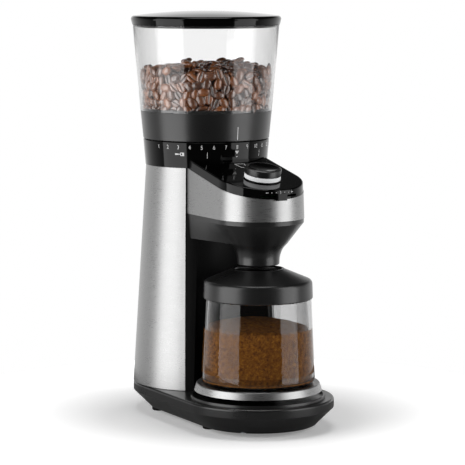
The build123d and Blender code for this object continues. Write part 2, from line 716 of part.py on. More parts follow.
# ---------------------------------------------------------------- grind adjustment and hopper
LUG_ANGLES = (60, 180, 300)
LUG_R = 53.5


def lug_sketch(z, radial, across):
    """Three blocks round the hopper axis."""
    with BuildSketch(Plane((0, HOPPER_Y, z))) as lugs:
        for angle in LUG_ANGLES:
            with PolarLocations(LUG_R, 1, start_angle=angle):
                Rectangle(radial, across)
    return lugs.sketch


with BuildPart() as adjusting_ring:
    turn(
        HOPPER,
        HOPPER_AXIS,
        [
            (50.4, 252.4),
            (57.6, 252.4),
            (57.6, 269),
            (CARRIER_R + 0.4, 269),
            (CARRIER_R + 0.4, 256),
            (50.4, 256),
        ],
    )
    extrude(lug_sketch(258.5, 5.2, 12.8), amount=12, mode=Mode.SUBTRACT)
export(adjusting_ring.part, "adjusting_ring")

THROAT_R = 17.0
GATE_LOW_Z = 271.5
GATE_H = 2.2
GATE_PIVOT = (18.92, 20.64)  # from the hopper axis
GATE_OPEN_X = 37.84
with BuildPart() as hopper_base:
    turn(
        HOPPER,
        HOPPER_AXIS,
        [
            (60.4, BAND_FOOT_Z),
            (62.6, BAND_FOOT_Z),
            (62.95, BAND_FOOT_Z + 0.4),
            (65.65, BAND_TOP_Z),
            (63.2, BAND_TOP_Z),
            (63.2, BAND_TOP_Z + 3),
            (61.2, BAND_TOP_Z + 3),
            (61.2, 301.6),
            (THROAT_R, 281.5),
            (THROAT_R, BAND_FOOT_Z),
            (THROAT_R + WALL, BAND_FOOT_Z),
            (THROAT_R + WALL, 279.4),
            (60.4, 298),
        ],
    )
    extrude(lug_sketch(260, 4.6, 12), amount=34)
    with Locations((GATE_PIVOT[0], HOPPER_Y + GATE_PIVOT[1], BAND_FOOT_Z)):
        Cylinder(radius=4.2, height=9.5, align=(Align.CENTER, Align.CENTER, Align.MIN))
    drill([(GATE_PIVOT[0], HOPPER_Y + GATE_PIVOT[1])], 2.0 + FIT, BAND_FOOT_Z, BAND_FOOT_Z + 7)
export(hopper_base.part, "hopper_base")

with BuildPart() as hopper_gate:
    with BuildSketch(Plane((0, HOPPER_Y, GATE_LOW_Z))):
        with Locations((GATE_OPEN_X, 0)):
            Circle(18.6)
        with Locations(GATE_PIVOT):
            Circle(5.5)
        make_hull()
        with Locations(GATE_PIVOT):
            Circle(2.1, mode=Mode.SUBTRACT)
    extrude(amount=GATE_H)
export(hopper_gate.part, "hopper_gate")

with BuildPart() as gate_pin:
    with Locations((GATE_PIVOT[0], HOPPER_Y + GATE_PIVOT[1], 269.7)):
        Cylinder(radius=4, height=1.5, align=(Align.CENTER, Align.CENTER, Align.MIN))
        Cylinder(radius=2, height=12, align=(Align.CENTER, Align.CENTER, Align.MIN))
export(gate_pin.part, "gate_pin")

HOPPER_WALL = 2.2
with BuildPart() as hopper_body:
    turn(
        HOPPER,
        HOPPER_AXIS,
        [
            (65.7, BAND_TOP_Z),
            (73.2, HOPPER_TOP_Z),
            (73.2 - HOPPER_WALL, HOPPER_TOP_Z),
            (65.7 - HOPPER_WALL, BAND_TOP_Z),
        ],
    )
export(hopper_body.part, "hopper_body")

LID_EDGE_Z = 396.7
LID_PLUG_Z = 385.2
with BuildPart() as hopper_lid:
    with BuildSketch(HOPPER):
        with BuildLine():
            TangentArc((0, LID_TOP_Z), (71.6, LID_EDGE_Z), tangent=(1, 0))
            ThreePointArc((71.6, LID_EDGE_Z), (74.2, 395.5), (LID_R, 393.0))
            Line((LID_R, 393.0), (73.7, 387.9))
            Line((73.7, 387.9), (69.6, 387.9))
            Line((69.6, 387.9), (69.6, LID_PLUG_Z))
            Line((69.6, LID_PLUG_Z), (67.0, LID_PLUG_Z))
            Line((67.0, LID_PLUG_Z), (67.0, 392.5))
            TangentArc((0, 398.6), (67.0, 392.5), tangent=(1, 0))
            Line((0, 398.6), (0, LID_TOP_Z))
        make_face()
    revolve(axis=HOPPER_AXIS)
export(hopper_lid.part, "hopper_lid")

with BuildPart() as lid_gasket:
    tube(HOPPER, HOPPER_AXIS, 69.6, 70.5, LID_PLUG_Z + 0.4, 387.4)
export(lid_gasket.part, "lid_gasket")

# ---------------------------------------------------------------- nose
with BuildPart() as nose_band:
    nose_block(NOSE_FOOT_W, NOSE_FOOT_Z, COLUMN_TOP_Z - 0.1)
    nose_block(NOSE_FOOT_W - SHEET, NOSE_FOOT_Z, COLUMN_TOP_Z, Mode.SUBTRACT)
    column_cone(SKIN_GAP - 0.2, NOSE_FOOT_Z - 1, 257, Mode.SUBTRACT)
    split(bisect_by=PANEL_SEAT, keep=Keep.BOTTOM)
export(nose_band.part, "nose_band")

with BuildPart() as nose_housing:
    nose_block(NOSE_FOOT_W - SHEET - 0.1, NOSE_FOOT_Z, COLUMN_TOP_Z - 0.1)
    nose_block(NOSE_FOOT_W - SHEET - WALL, NOSE_FOOT_Z + WALL, COLUMN_TOP_Z, Mode.SUBTRACT)
    column_cone(SKIN_GAP - 0.2, NOSE_FOOT_Z - 1, 257, Mode.SUBTRACT)
    split(bisect_by=PANEL_SEAT, keep=Keep.BOTTOM)
    drill([(0, SPOUT_Y)], 24, NOSE_FOOT_Z, NOSE_FOOT_Z + WALL)
export(nose_housing.part, "nose_housing")

SLIDER_Z = 229.3
SLOT_ANGLE = 27.0
with BuildPart() as control_panel:
    nose_block(NOSE_FOOT_W - 0.3, 215, 275)
    split(bisect_by=PANEL_SEAT.offset(0.1), keep=Keep.TOP)
    split(bisect_by=PANEL_FACE, keep=Keep.BOTTOM)
    turn(
        HOPPER,
        HOPPER_AXIS,
        [
            (0, 230),
            (COLLAR_FOOT_R + 0.4, 230),
            (COLLAR_FOOT_R + 0.4, COLUMN_TOP_Z),
            (COLLAR_TOP_R + 0.4, 275),
            (0, 275),
        ],
        Mode.SUBTRACT,
    )
    fillet(control_panel.faces().filter_by(PANEL_FACE).sort_by(DIAL_AXIS)[-1].edges(), radius=1.6)
    with BuildPart(mode=Mode.PRIVATE) as panel_hollow:
        nose_block(NOSE_FOOT_W - 0.3 - WALL, 214, 276)
        split(bisect_by=PANEL_FACE.offset(-WALL), keep=Keep.BOTTOM)
        tube(HOPPER, HOPPER_AXIS, 0, COLLAR_TOP_R + 3, 210, 280, Mode.SUBTRACT)
    add(panel_hollow.part, mode=Mode.SUBTRACT)
    with BuildSketch(dial_face):
        Circle(3.7)
    extrude(amount=-10, mode=Mode.SUBTRACT)
    with BuildSketch(Plane((0, SPOUT_Y, SLIDER_Z - 1))):
        with BuildLine():
            arc_start = -90 - SLOT_ANGLE
            CenterArc((0, 0), 36, arc_start, 2 * SLOT_ANGLE)
            CenterArc((0, 0), 48, arc_start, 2 * SLOT_ANGLE)
            for edge_angle in (arc_start, arc_start + 2 * SLOT_ANGLE):
                PolarLine((36 * cos(radians(edge_angle)), 36 * sin(radians(edge_angle))), 12, edge_angle)
        make_face()
    extrude(amount=2, mode=Mode.SUBTRACT)
export(control_panel.part, "control_panel")

with BuildPart() as strength_slider:
    grip = (44.1, 45.9, 225.0, 231.6, 7.6)
    stem = (38.6, 44.2, 228.6, 230.0, 2.4)
    for inner_r, outer_r, low, high, angle in (grip, stem):
        start = -90 - angle
        with BuildSketch(Plane((0, SPOUT_Y, low))):
            with BuildLine():
                CenterArc((0, 0), inner_r, start, 2 * angle)
                CenterArc((0, 0), outer_r, start, 2 * angle)
                for edge_angle in (start, start + 2 * angle):
                    side_start = (inner_r * cos(radians(edge_angle)), inner_r * sin(radians(edge_angle)))
                    PolarLine(side_start, outer_r - inner_r, edge_angle)
            make_face()
        extrude(amount=high - low)
export(strength_slider.part, "strength_slider")

with BuildPart() as dial_base:
    turn(
        DIAL,
        DIAL_AXIS,
        [(3.7, 0), (17.9, 0), (17.9, 1.0), (17.5, 1.3), (14.3, 1.3), (14.3, 5.2), (3.7, 5.2)],
    )
export(dial_base.part, "dial_base")

with BuildPart() as light_ring:
    tube(DIAL, DIAL_AXIS, 14.4, 17.6, 1.3, 5.3)
export(light_ring.part, "light_ring")

with BuildPart() as dial_knob:
    turn(
        DIAL,
        DIAL_AXIS,
        [
            (1.65, -9),
            (3.0, -9),
            (3.0, 5.6),
            (17.7, 5.6),
            (17.8, 6.0),
            (17.8, 10.6),
            (17.4, 11.5),
            (16.5, 12.0),
            (15.2, 12.0),
            (14.7, 11.5),
            (14.7, 8.2),
            (1.65, 8.2),
        ],
    )
export(dial_knob.part, "dial_knob")

with BuildPart() as start_button:
    with BuildSketch(DIAL):
        with BuildLine():
            Line((0, -8), (1.5, -8))
            Line((1.5, -8), (1.5, 10.0))
            Line((1.5, 10.0), (14.3, 10.0))
            Line((14.3, 10.0), (14.3, 11.7))
            Line((14.3, 11.7), (13.9, 12.0))
            TangentArc((0, 10.9), (13.9, 12.0), tangent=(1, 0))
            Line((0, 10.9), (0, -8))
        make_face()
    revolve(axis=DIAL_AXIS)
export(start_button.part, "start_button")

with BuildPart() as button_spring:
    tube(DIAL, DIAL_AXIS, 4.2, 5.6, 8.25, 9.95)
export(button_spring.part, "button_spring")

BOARD_DEPTH = 13.6
with BuildPart() as control_board:
    with BuildSketch(dial_face.offset(-BOARD_DEPTH)):
        with Locations((0, 16)):
            RectangleRounded(56, 64, 4)
    extrude(amount=1.6)
    with BuildSketch(dial_face.offset(-12)):
        Rectangle(13, 13)
    extrude(amount=8)
    with BuildSketch(dial_face.offset(-12)):
        with Locations((14, 30)):
            Rectangle(14, 10)
        with Locations((-12, 26)):
            Rectangle(9, 9)
    extrude(amount=3)
    with BuildSketch(dial_face.offset(-10.5)):
        Circle(3.0 + FIT)
    extrude(amount=7, mode=Mode.SUBTRACT)
export(control_board.part, "control_board")

with BuildPart() as grounds_chute:
    side = Plane(origin=(0, HOPPER_Y, 0), x_dir=(0, 1, 0), z_dir=(1, 0, 0))
    with BuildSketch(side):
        with BuildLine():
            Polyline((-47, 231), (-121, 212), (-121, 196), (-93, 196), (-93, 208), (-47, 214), close=True)
        make_face()
    extrude(amount=12, both=True)
    with BuildSketch(side):
        with BuildLine():
            Polyline((-46, 229), (-119, 210.3), (-119, 195), (-95, 195), (-95, 209.7), (-46, 216), close=True)
        make_face()
    extrude(amount=10, both=True, mode=Mode.SUBTRACT)
export(grounds_chute.part, "grounds_chute")


# ---------------------------------------------------------------- spout funnel
FUNNEL_SPLIT_Z = 200.5
FUNNEL_W = 44.0
DROP_R = 28.7  # funnel radius at the arm's foot
ARM_BACK = 66.0  # from the spout axis back to where the arm starts


def arm_outline(z, front_r):
    """Outline of the arm: full width at the column, round at the front, with tangent sides."""
    reach = sqrt(FUNNEL_W**2 + ARM_BACK**2)
    angle = acos(FUNNEL_W / reach) - acos(front_r / reach)
    touch = (front_r * cos(angle), front_r * sin(angle))
    with BuildSketch(Plane((0, SPOUT_Y, z))) as outline:
        with BuildLine():
            Line((-FUNNEL_W, ARM_BACK), (FUNNEL_W, ARM_BACK))
            Line((FUNNEL_W, ARM_BACK), touch)
            ThreePointArc(touch, (0, -front_r), (-touch[0], touch[1]))
            Line((-touch[0], touch[1]), (-FUNNEL_W, ARM_BACK))
        make_face()
    return outline.sketch


FLARE_START = 14.0  # degrees from the side to where the flare under the arm starts
with BuildPart() as spout_flare:
    flare_dir = (cos(radians(FLARE_START)), sin(radians(FLARE_START)), 0)
    flare_normal = (sin(radians(FLARE_START)), -cos(radians(FLARE_START)), 0)
    with BuildSketch(Plane(origin=(0, SPOUT_Y, 0), x_dir=flare_dir, z_dir=flare_normal)):
        with BuildLine():
            Line((17.5, 163), (20.6, 163))
            Spline((20.6, 163), (22.9, 172), (34, ARM_FOOT_Z + 0.1), tangents=[(0, 1), (1, 0.1)])
            Line((34, ARM_FOOT_Z + 0.1), (17.5, ARM_FOOT_Z + 0.1))
            Line((17.5, ARM_FOOT_Z + 0.1), (17.5, 163))
        make_face()
    revolve(axis=SPOUT_AXIS, revolution_arc=180 - 2 * FLARE_START)
    extrude(arm_outline(160, DROP_R), amount=30, mode=Mode.INTERSECT)

with BuildPart() as spout_funnel:
    add(arm_outline(ARM_FOOT_Z, DROP_R))
    add(arm_outline(FUNNEL_SPLIT_Z, FUNNEL_W - 0.01))
    loft(ruled=True)
    extrude(arm_outline(FUNNEL_SPLIT_Z, FUNNEL_W - 0.01), amount=NOSE_FOOT_Z - FUNNEL_SPLIT_Z)
    with BuildSketch(SPOUT):
        with BuildLine():
            Line((0, SPOUT_FOOT_Z), (SPOUT_R - 0.8, SPOUT_FOOT_Z))
            ThreePointArc(
                (SPOUT_R - 0.8, SPOUT_FOOT_Z),
                (SPOUT_R - 0.2, SPOUT_FOOT_Z + 0.3),
                (SPOUT_R, SPOUT_FOOT_Z + 1),
            )
            Line((SPOUT_R, SPOUT_FOOT_Z + 1), (20.7, 164.5))
            flare = [(20.7, 164.5), (21.7, 169.5), (24.1, 175.2), (DROP_R, ARM_FOOT_Z)]
            Spline(*flare, tangents=[(0.05, 1), (0.8, 1)])
            Line((DROP_R, ARM_FOOT_Z), (DROP_R, ARM_FOOT_Z + 1))
            Line((DROP_R, ARM_FOOT_Z + 1), (0, ARM_FOOT_Z + 1))
            Line((0, ARM_FOOT_Z + 1), (0, SPOUT_FOOT_Z))
        make_face()
    revolve(axis=SPOUT_AXIS)
    add(spout_flare.part)
    column_cone(SKIN_GAP - 0.1, ARM_FOOT_Z - 1, NOSE_FOOT_Z + 1, Mode.SUBTRACT)
    turn(
        SPOUT,
        SPOUT_AXIS,
        [(0, 158), (17.6, 158), (17.9, 168), (20.6, 176), (25.5, 182), (39.5, 199), (39.5, 206), (0, 206)],
        Mode.SUBTRACT,
    )
    with BuildSketch(Plane((0, SPOUT_Y, ARM_FOOT_Z + 3))):
        with BuildLine():
            Polyline((-36, 60), (36, 60), (25, 12), (-25, 12), close=True)
        make_face()
    extrude(amount=30, mode=Mode.SUBTRACT)
export(spout_funnel.part, "spout_funnel")
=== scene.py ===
"""Looks of the burr coffee grinder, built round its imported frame. Metres, +Z up, front faces -Y."""

import json
import math
import random

import bmesh
import bpy
import numpy as np
from mathutils import Matrix, Quaternion, Vector, noise


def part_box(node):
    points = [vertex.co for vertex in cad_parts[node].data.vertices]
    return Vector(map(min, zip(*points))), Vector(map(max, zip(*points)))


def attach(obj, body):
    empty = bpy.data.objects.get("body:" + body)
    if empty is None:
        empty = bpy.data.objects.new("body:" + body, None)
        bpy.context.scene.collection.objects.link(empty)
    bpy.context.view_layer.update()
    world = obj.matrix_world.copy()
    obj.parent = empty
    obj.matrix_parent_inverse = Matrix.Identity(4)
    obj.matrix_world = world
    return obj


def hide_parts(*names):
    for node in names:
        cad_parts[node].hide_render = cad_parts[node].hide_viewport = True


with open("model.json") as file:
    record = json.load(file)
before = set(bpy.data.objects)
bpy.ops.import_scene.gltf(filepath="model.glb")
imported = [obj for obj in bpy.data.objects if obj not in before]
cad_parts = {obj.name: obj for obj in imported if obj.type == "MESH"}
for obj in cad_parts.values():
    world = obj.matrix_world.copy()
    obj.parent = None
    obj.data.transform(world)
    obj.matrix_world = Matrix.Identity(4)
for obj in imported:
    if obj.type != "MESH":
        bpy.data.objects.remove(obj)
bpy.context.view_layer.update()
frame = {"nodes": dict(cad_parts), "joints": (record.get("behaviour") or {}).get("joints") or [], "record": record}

MM = 0.001


# ---------------------------------------------------------------- places, taken from the frame
def middle(node_name):
    """Middle of a CAD node's box."""
    low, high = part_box(node_name)
    return (low + high) / 2


def foot_and_top(node_name):
    """Lowest and highest point of a CAD node, in millimetres."""
    low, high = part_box(node_name)
    return low.z / MM, high.z / MM


HOPPER_AXIS = middle("collar_ring").to_2d()
SPOUT_AXIS = middle("grounds_jar").to_2d()
COLLAR_FOOT, COLLAR_TOP = foot_and_top("collar_ring")
HOPPER_FOOT, HOPPER_TOP = foot_and_top("hopper_body")
JAR_FOOT, JAR_TOP = foot_and_top("grounds_jar")
BAND_FOOT = COLLAR_TOP + 0.8  # of the hopper's dark band
BAND_FOOT_R = 62.97
BAND_FLARE = 0.0998
JAR_LID_FOOT, _ = foot_and_top("jar_lid")
COLLAR_R = (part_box("collar_ring")[1].x) / MM
COLLAR_FOOT_R = COLLAR_R - 2.1
HOPPER_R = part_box("hopper_body")[1].x / MM
HOPPER_FOOT_R = HOPPER_R - 7.5
HOPPER_WALL = 2.2
JAR_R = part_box("grounds_jar")[1].x / MM
JAR_NECK_R = JAR_R - 4.4
JAR_COLLAR_R = JAR_R - 6.1
JAR_WALL = 2.4
JAR_FLOOR = 2.9
JAR_HEEL = 6.4  # height of the rounded heel inside
JOINTS = {joint["name"]: joint for joint in frame["joints"]}
DIAL_UP = Vector(JOINTS["dial_turn"]["axis"]).normalized()
DIAL_SPOT = Vector(JOINTS["dial_turn"]["pos_m"])
DOWN_SLOPE = Vector((0, -DIAL_UP.z, DIAL_UP.y))


# ---------------------------------------------------------------- material helpers
def srgb(text):
    """Hex colour to the linear values that a shader socket takes."""
    channels = []
    for place in (0, 2, 4):
        value = int(text[place : place + 2], 16) / 255
        channels.append(value / 12.92 if value <= 0.04045 else ((value + 0.055) / 1.055) ** 2.4)
    return (*channels, 1.0)


def add_node(tree, kind, settings=None, links=None):
    """Add a shader node, give its attributes or sockets their values, and link its inputs."""
    made = tree.nodes.new(kind)
    for name, value in (settings or {}).items():
        if isinstance(name, str) and hasattr(made, name):
            setattr(made, name, value)
        else:
            made.inputs[name].default_value = value
    for name, source in (links or {}).items():
        tree.links.new(source, made.inputs[name])
    return made


def empty_material(name):
    """A material with only its output."""
    material = bpy.data.materials.new(name)
    material.use_nodes = True
    tree = material.node_tree
    tree.nodes.clear()
    return material, tree, tree.nodes.new("ShaderNodeOutputMaterial")


def millimetres(tree, grain):
    """Place in the row frame, divided by a grain size in millimetres along x, y and z."""
    place = add_node(tree, "ShaderNodeTexCoord")
    scale = tuple(1 / (size * MM) for size in grain)
    return add_node(
        tree, "ShaderNodeMapping", {"Scale": scale}, {"Vector": place.outputs["Object"]}
    ).outputs[0]


def ramp(tree, factor, low, high):
    """Numbers from low to high as the factor goes from 0.3 to 0.7, where a noise mostly lies."""
    settings = {"From Min": 0.3, "From Max": 0.7, "To Min": low, "To Max": high}
    return add_node(tree, "ShaderNodeMapRange", settings, {"Value": factor}).outputs[0]


def blend_colours(tree, factor, first, second):
    """Colour between two hex colours."""
    mixed = add_node(tree, "ShaderNodeMix", {"data_type": "RGBA"}, {0: factor})
    mixed.inputs[6].default_value = srgb(first)
    mixed.inputs[7].default_value = srgb(second)
    return mixed.outputs[2]


def seen_by_eye(tree):
    """One where the eye looks straight or through clear plastic, zero once light has bounced."""
    path = add_node(tree, "ShaderNodeLightPath")
    looked = add_node(
        tree,
        "ShaderNodeMath",
        {"operation": "MAXIMUM"},
        {0: path.outputs["Is Camera Ray"], 1: path.outputs["Is Transmission Ray"]},
    )
    turns = add_node(
        tree,
        "ShaderNodeMath",
        {"operation": "ADD"},
        {0: path.outputs["Diffuse Depth"], 1: path.outputs["Glossy Depth"]},
    )
    straight = add_node(
        tree, "ShaderNodeMath", {"operation": "LESS_THAN", 1: 0.5}, {0: turns.outputs[0]}
    )
    both = add_node(
        tree, "ShaderNodeMath", {"operation": "MULTIPLY"}, {0: looked.outputs[0], 1: straight.outputs[0]}
    )
    return both.outputs[0]


# ---------------------------------------------------------------- materials
def moulded_plastic(name, dark, light, roughness, grain_mm, grain_depth_mm, specular=0.5):
    """Moulded plastic: the spark-eroded grain of its tool, and a slow drift in tone and gloss."""
    material, tree, output = empty_material(name)
    drift = add_node(
        tree,
        "ShaderNodeTexNoise",
        {"Scale": 1.0, "Detail": 2.0},
        {0: millimetres(tree, (34, 34, 34))},
    )
    grain = add_node(
        tree,
        "ShaderNodeTexNoise",
        {"Scale": 1.0, "Detail": 2.0},
        {0: millimetres(tree, (grain_mm, grain_mm, grain_mm))},
    )
    bump = add_node(
        tree,
        "ShaderNodeBump",
        {"Strength": 1.0, "Distance": grain_depth_mm * MM},
        {"Height": grain.outputs[0]},
    )
    gloss = ramp(tree, drift.outputs[0], roughness * 0.9, roughness * 1.1)
    colour = blend_colours(tree, drift.outputs[0], dark, light)
    shader = add_node(
        tree,
        "ShaderNodeBsdfPrincipled",
        {"IOR": 1.53, "Specular IOR Level": specular},
        {"Base Color": colour, "Roughness": gloss, "Normal": bump.outputs[0]},
    )
    tree.links.new(shader.outputs[0], output.inputs[0])
    return material


def brushed_stainless(name, scratch_mm, dark, light, roughness, anisotropy):
    """Stainless sheet brushed with a fine belt: long level scratches, about 0.3 mm apart."""
    material, tree, output = empty_material(name)
    scratch = add_node(
        tree,
        "ShaderNodeTexNoise",
        {"Scale": 1.0, "Detail": 4.0, "Roughness": 0.6},
        {0: millimetres(tree, scratch_mm)},
    )
    cloud = add_node(
        tree,
        "ShaderNodeTexNoise",
        {"Scale": 1.0, "Detail": 3.0},
        {0: millimetres(tree, (18, 18, 9))},
    )
    bump = add_node(
        tree,
        "ShaderNodeBump",
        {"Strength": 1.0, "Distance": 0.0014 * MM},
        {"Height": scratch.outputs[0]},
    )
    both = add_node(
        tree,
        "ShaderNodeMath",
        {"operation": "MULTIPLY_ADD", 1: 0.35},
        {0: cloud.outputs[0], 2: scratch.outputs[0]},
    )
    round_axis = add_node(tree, "ShaderNodeTangent", {"direction_type": "RADIAL", "axis": "Z"})
    shader = add_node(
        tree,
        "ShaderNodeBsdfPrincipled",
        {"Metallic": 1.0, "Anisotropic": anisotropy},
        {
            "Base Color": blend_colours(tree, ramp(tree, scratch.outputs[0], 0, 1), dark, light),
            "Roughness": ramp(tree, both.outputs[0], roughness - 0.03, roughness + 0.05),
            "Normal": bump.outputs[0],
            "Tangent": round_axis.outputs[0],
        },
    )
    tree.links.new(shader.outputs[0], output.inputs[0])
    return material


def plain_metal(name, dark, light, roughness, grain_mm):
    """Turned, ground or plated metal: a fine grain in its tone and gloss."""
    material, tree, output = empty_material(name)
    grain = add_node(
        tree, "ShaderNodeTexNoise", {"Scale": 1.0, "Detail": 3.0}, {0: millimetres(tree, grain_mm)}
    )
    shader = add_node(
        tree,
        "ShaderNodeBsdfPrincipled",
        {"Metallic": 1.0},
        {
            "Base Color": blend_colours(tree, grain.outputs[0], dark, light),
            "Roughness": ramp(tree, grain.outputs[0], roughness * 0.8, roughness * 1.2),
        },
    )
    tree.links.new(shader.outputs[0], output.inputs[0])
    return material


WALL_IOR = 1.34  # lower than real copolyester, so that the stripes it mirrors stay faint


def clear_plastic(name, tint, rim_painted_shade, shadow_tint):
    """Clear moulded copolyester, with grey shade painted where the eye meets its wall aslant. Lamps shine through
    it.
    """
    material, tree, output = empty_material(name)
    flow = add_node(
        tree,
        "ShaderNodeTexNoise",
        {"Scale": 1.0, "Detail": 1.0},
        {0: millimetres(tree, (26, 26, 60))},
    )
    bump = add_node(
        tree,
        "ShaderNodeBump",
        {"Strength": 1.0, "Distance": 0.05 * MM},
        {"Height": flow.outputs[0]},
    )
    # painted shade: the wall turns towards the rim colour where it is seen aslant
    aslant = add_node(tree, "ShaderNodeLayerWeight", {"Blend": 0.5})
    depth = add_node(
        tree,
        "ShaderNodeMapRange",
        {"From Min": 0.15, "From Max": 1.0},
        {"Value": aslant.outputs["Facing"]},
    )
    shader = add_node(
        tree,
        "ShaderNodeBsdfPrincipled",
        {"Transmission Weight": 1.0, "IOR": WALL_IOR, "Roughness": 0.0},
        {
            "Base Color": blend_colours(tree, depth.outputs[0], tint, rim_painted_shade),
            "Normal": bump.outputs[0],
        },
    )
    lamp_way = add_node(tree, "ShaderNodeBsdfTransparent", {"Color": srgb(shadow_tint)})
    path = add_node(tree, "ShaderNodeLightPath")
    mixed = add_node(
        tree,
        "ShaderNodeMixShader",
        None,
        {0: path.outputs["Is Shadow Ray"], 1: shader.outputs[0], 2: lamp_way.outputs[0]},
    )
    tree.links.new(mixed.outputs[0], output.inputs[0])
    return material


def roasted_bean():
    """Medium-roast coffee: oily brown skin with painted shade in the crease, each bean its own tone."""
    material, tree, output = empty_material("medium_roast_bean")
    tone = add_node(tree, "ShaderNodeAttribute", {"attribute_name": "bean_tone_and_crease_shade"})
    parts = add_node(tree, "ShaderNodeSeparateColor", None, {0: tone.outputs["Color"]})
    mottle = add_node(
        tree,
        "ShaderNodeTexNoise",
        {"Scale": 1.0, "Detail": 4.0},
        {0: millimetres(tree, (2.5, 2.5, 2.5))},
    )
    skin = blend_colours(tree, parts.outputs[0], "3A1C0A", "8E501C")
    mottled = add_node(
        tree,
        "ShaderNodeMix",
        {"data_type": "RGBA", "blend_type": "MULTIPLY", 0: 1.0},
        {6: skin, 7: blend_colours(tree, mottle.outputs[0], "A8A09A", "FFFFFF")},
    )
    # painted shade: each point's crease share darkens the skin towards near-black 120803, for the shade in the
    # crease
    creased = add_node(
        tree, "ShaderNodeMix", {"data_type": "RGBA"}, {0: parts.outputs[1], 6: mottled.outputs[2]}
    )
    creased.inputs[7].default_value = srgb("120803")
    wrinkle = add_node(
        tree,
        "ShaderNodeTexNoise",
        {"Scale": 1.0, "Detail": 3.0},
        {0: millimetres(tree, (0.9, 0.9, 0.9))},
    )
    bump = add_node(
        tree,
        "ShaderNodeBump",
        {"Strength": 1.0, "Distance": 0.09 * MM},
        {"Height": wrinkle.outputs[0]},
    )
    shader = add_node(
        tree,
        "ShaderNodeBsdfPrincipled",
        {"IOR": 1.6, "Coat Weight": 1.0, "Coat Roughness": 0.1, "Coat IOR": 1.7},
        {
            "Base Color": creased.outputs[2],
            "Roughness": ramp(tree, mottle.outputs[0], 0.3, 0.46),
            "Normal": bump.outputs[0],
        },
    )
    tree.links.new(shader.outputs[0], output.inputs[0])
    return material


def coffee_grounds():
    """Ground coffee: grit of about 0.7 mm, drawn 0.9 mm wide so that it shows, in dark and golden brown."""
    material, tree, output = empty_material("ground_coffee")
    grit = add_node(
        tree, "ShaderNodeTexVoronoi", {"Scale": 1.0}, {0: millimetres(tree, (0.9, 0.9, 0.9))}
    )
    patch = add_node(
        tree, "ShaderNodeTexNoise", {"Scale": 1.0, "Detail": 5.0}, {0: millimetres(tree, (3, 3, 3))}
    )
    shade = add_node(tree, "ShaderNodeSeparateColor", None, {0: grit.outputs["Color"]})
    golden = blend_colours(tree, shade.outputs[0], "744510", "AE7022")
    dark = blend_colours(tree, shade.outputs[1], "3E2209", "744714")
    both = add_node(
        tree,
        "ShaderNodeMix",
        {"data_type": "RGBA"},
        {0: ramp(tree, patch.outputs[0], 0, 1), 6: dark, 7: golden},
    )
    bump = add_node(
        tree,
        "ShaderNodeBump",
        {"Strength": 1.0, "Distance": 0.4 * MM},
        {"Height": grit.outputs["Distance"]},
    )
    shader = add_node(
        tree,
        "ShaderNodeBsdfPrincipled",
        {"Roughness": 0.85, "Specular IOR Level": 0.2},
        {"Base Color": both.outputs[2], "Normal": bump.outputs[0]},
    )
    tree.links.new(shader.outputs[0], output.inputs[0])
    return material


def glowing_diffuser():
    """Milky diffuser ring with white lamps behind it."""
    material, tree, output = empty_material("milky_diffuser")
    cloud = add_node(tree, "ShaderNodeTexNoise", {"Scale": 1.0}, {0: millimetres(tree, (8, 8, 8))})
    colour = blend_colours(tree, cloud.outputs[0], "F1F3F5", "FFFFFF")
    shader = add_node(
        tree,
        "ShaderNodeBsdfPrincipled",
        {"Roughness": 0.35, "Emission Strength": 0.15},
        {"Base Color": colour, "Emission Color": colour},
    )
    tree.links.new(shader.outputs[0], output.inputs[0])
    return material


def printed_ink(name, dark, light):
    """Pad-printed ink: a thin matt film with slight mottling."""
    material, tree, output = empty_material(name)
    mottle = add_node(
        tree, "ShaderNodeTexNoise", {"Scale": 1.0}, {0: millimetres(tree, (0.6, 0.6, 0.6))}
    )
    shader = add_node(
        tree,
        "ShaderNodeBsdfPrincipled",
        {"Roughness": 0.5},
        {"Base Color": blend_colours(tree, mottle.outputs[0], dark, light)},
    )
    tree.links.new(shader.outputs[0], output.inputs[0])
    return material


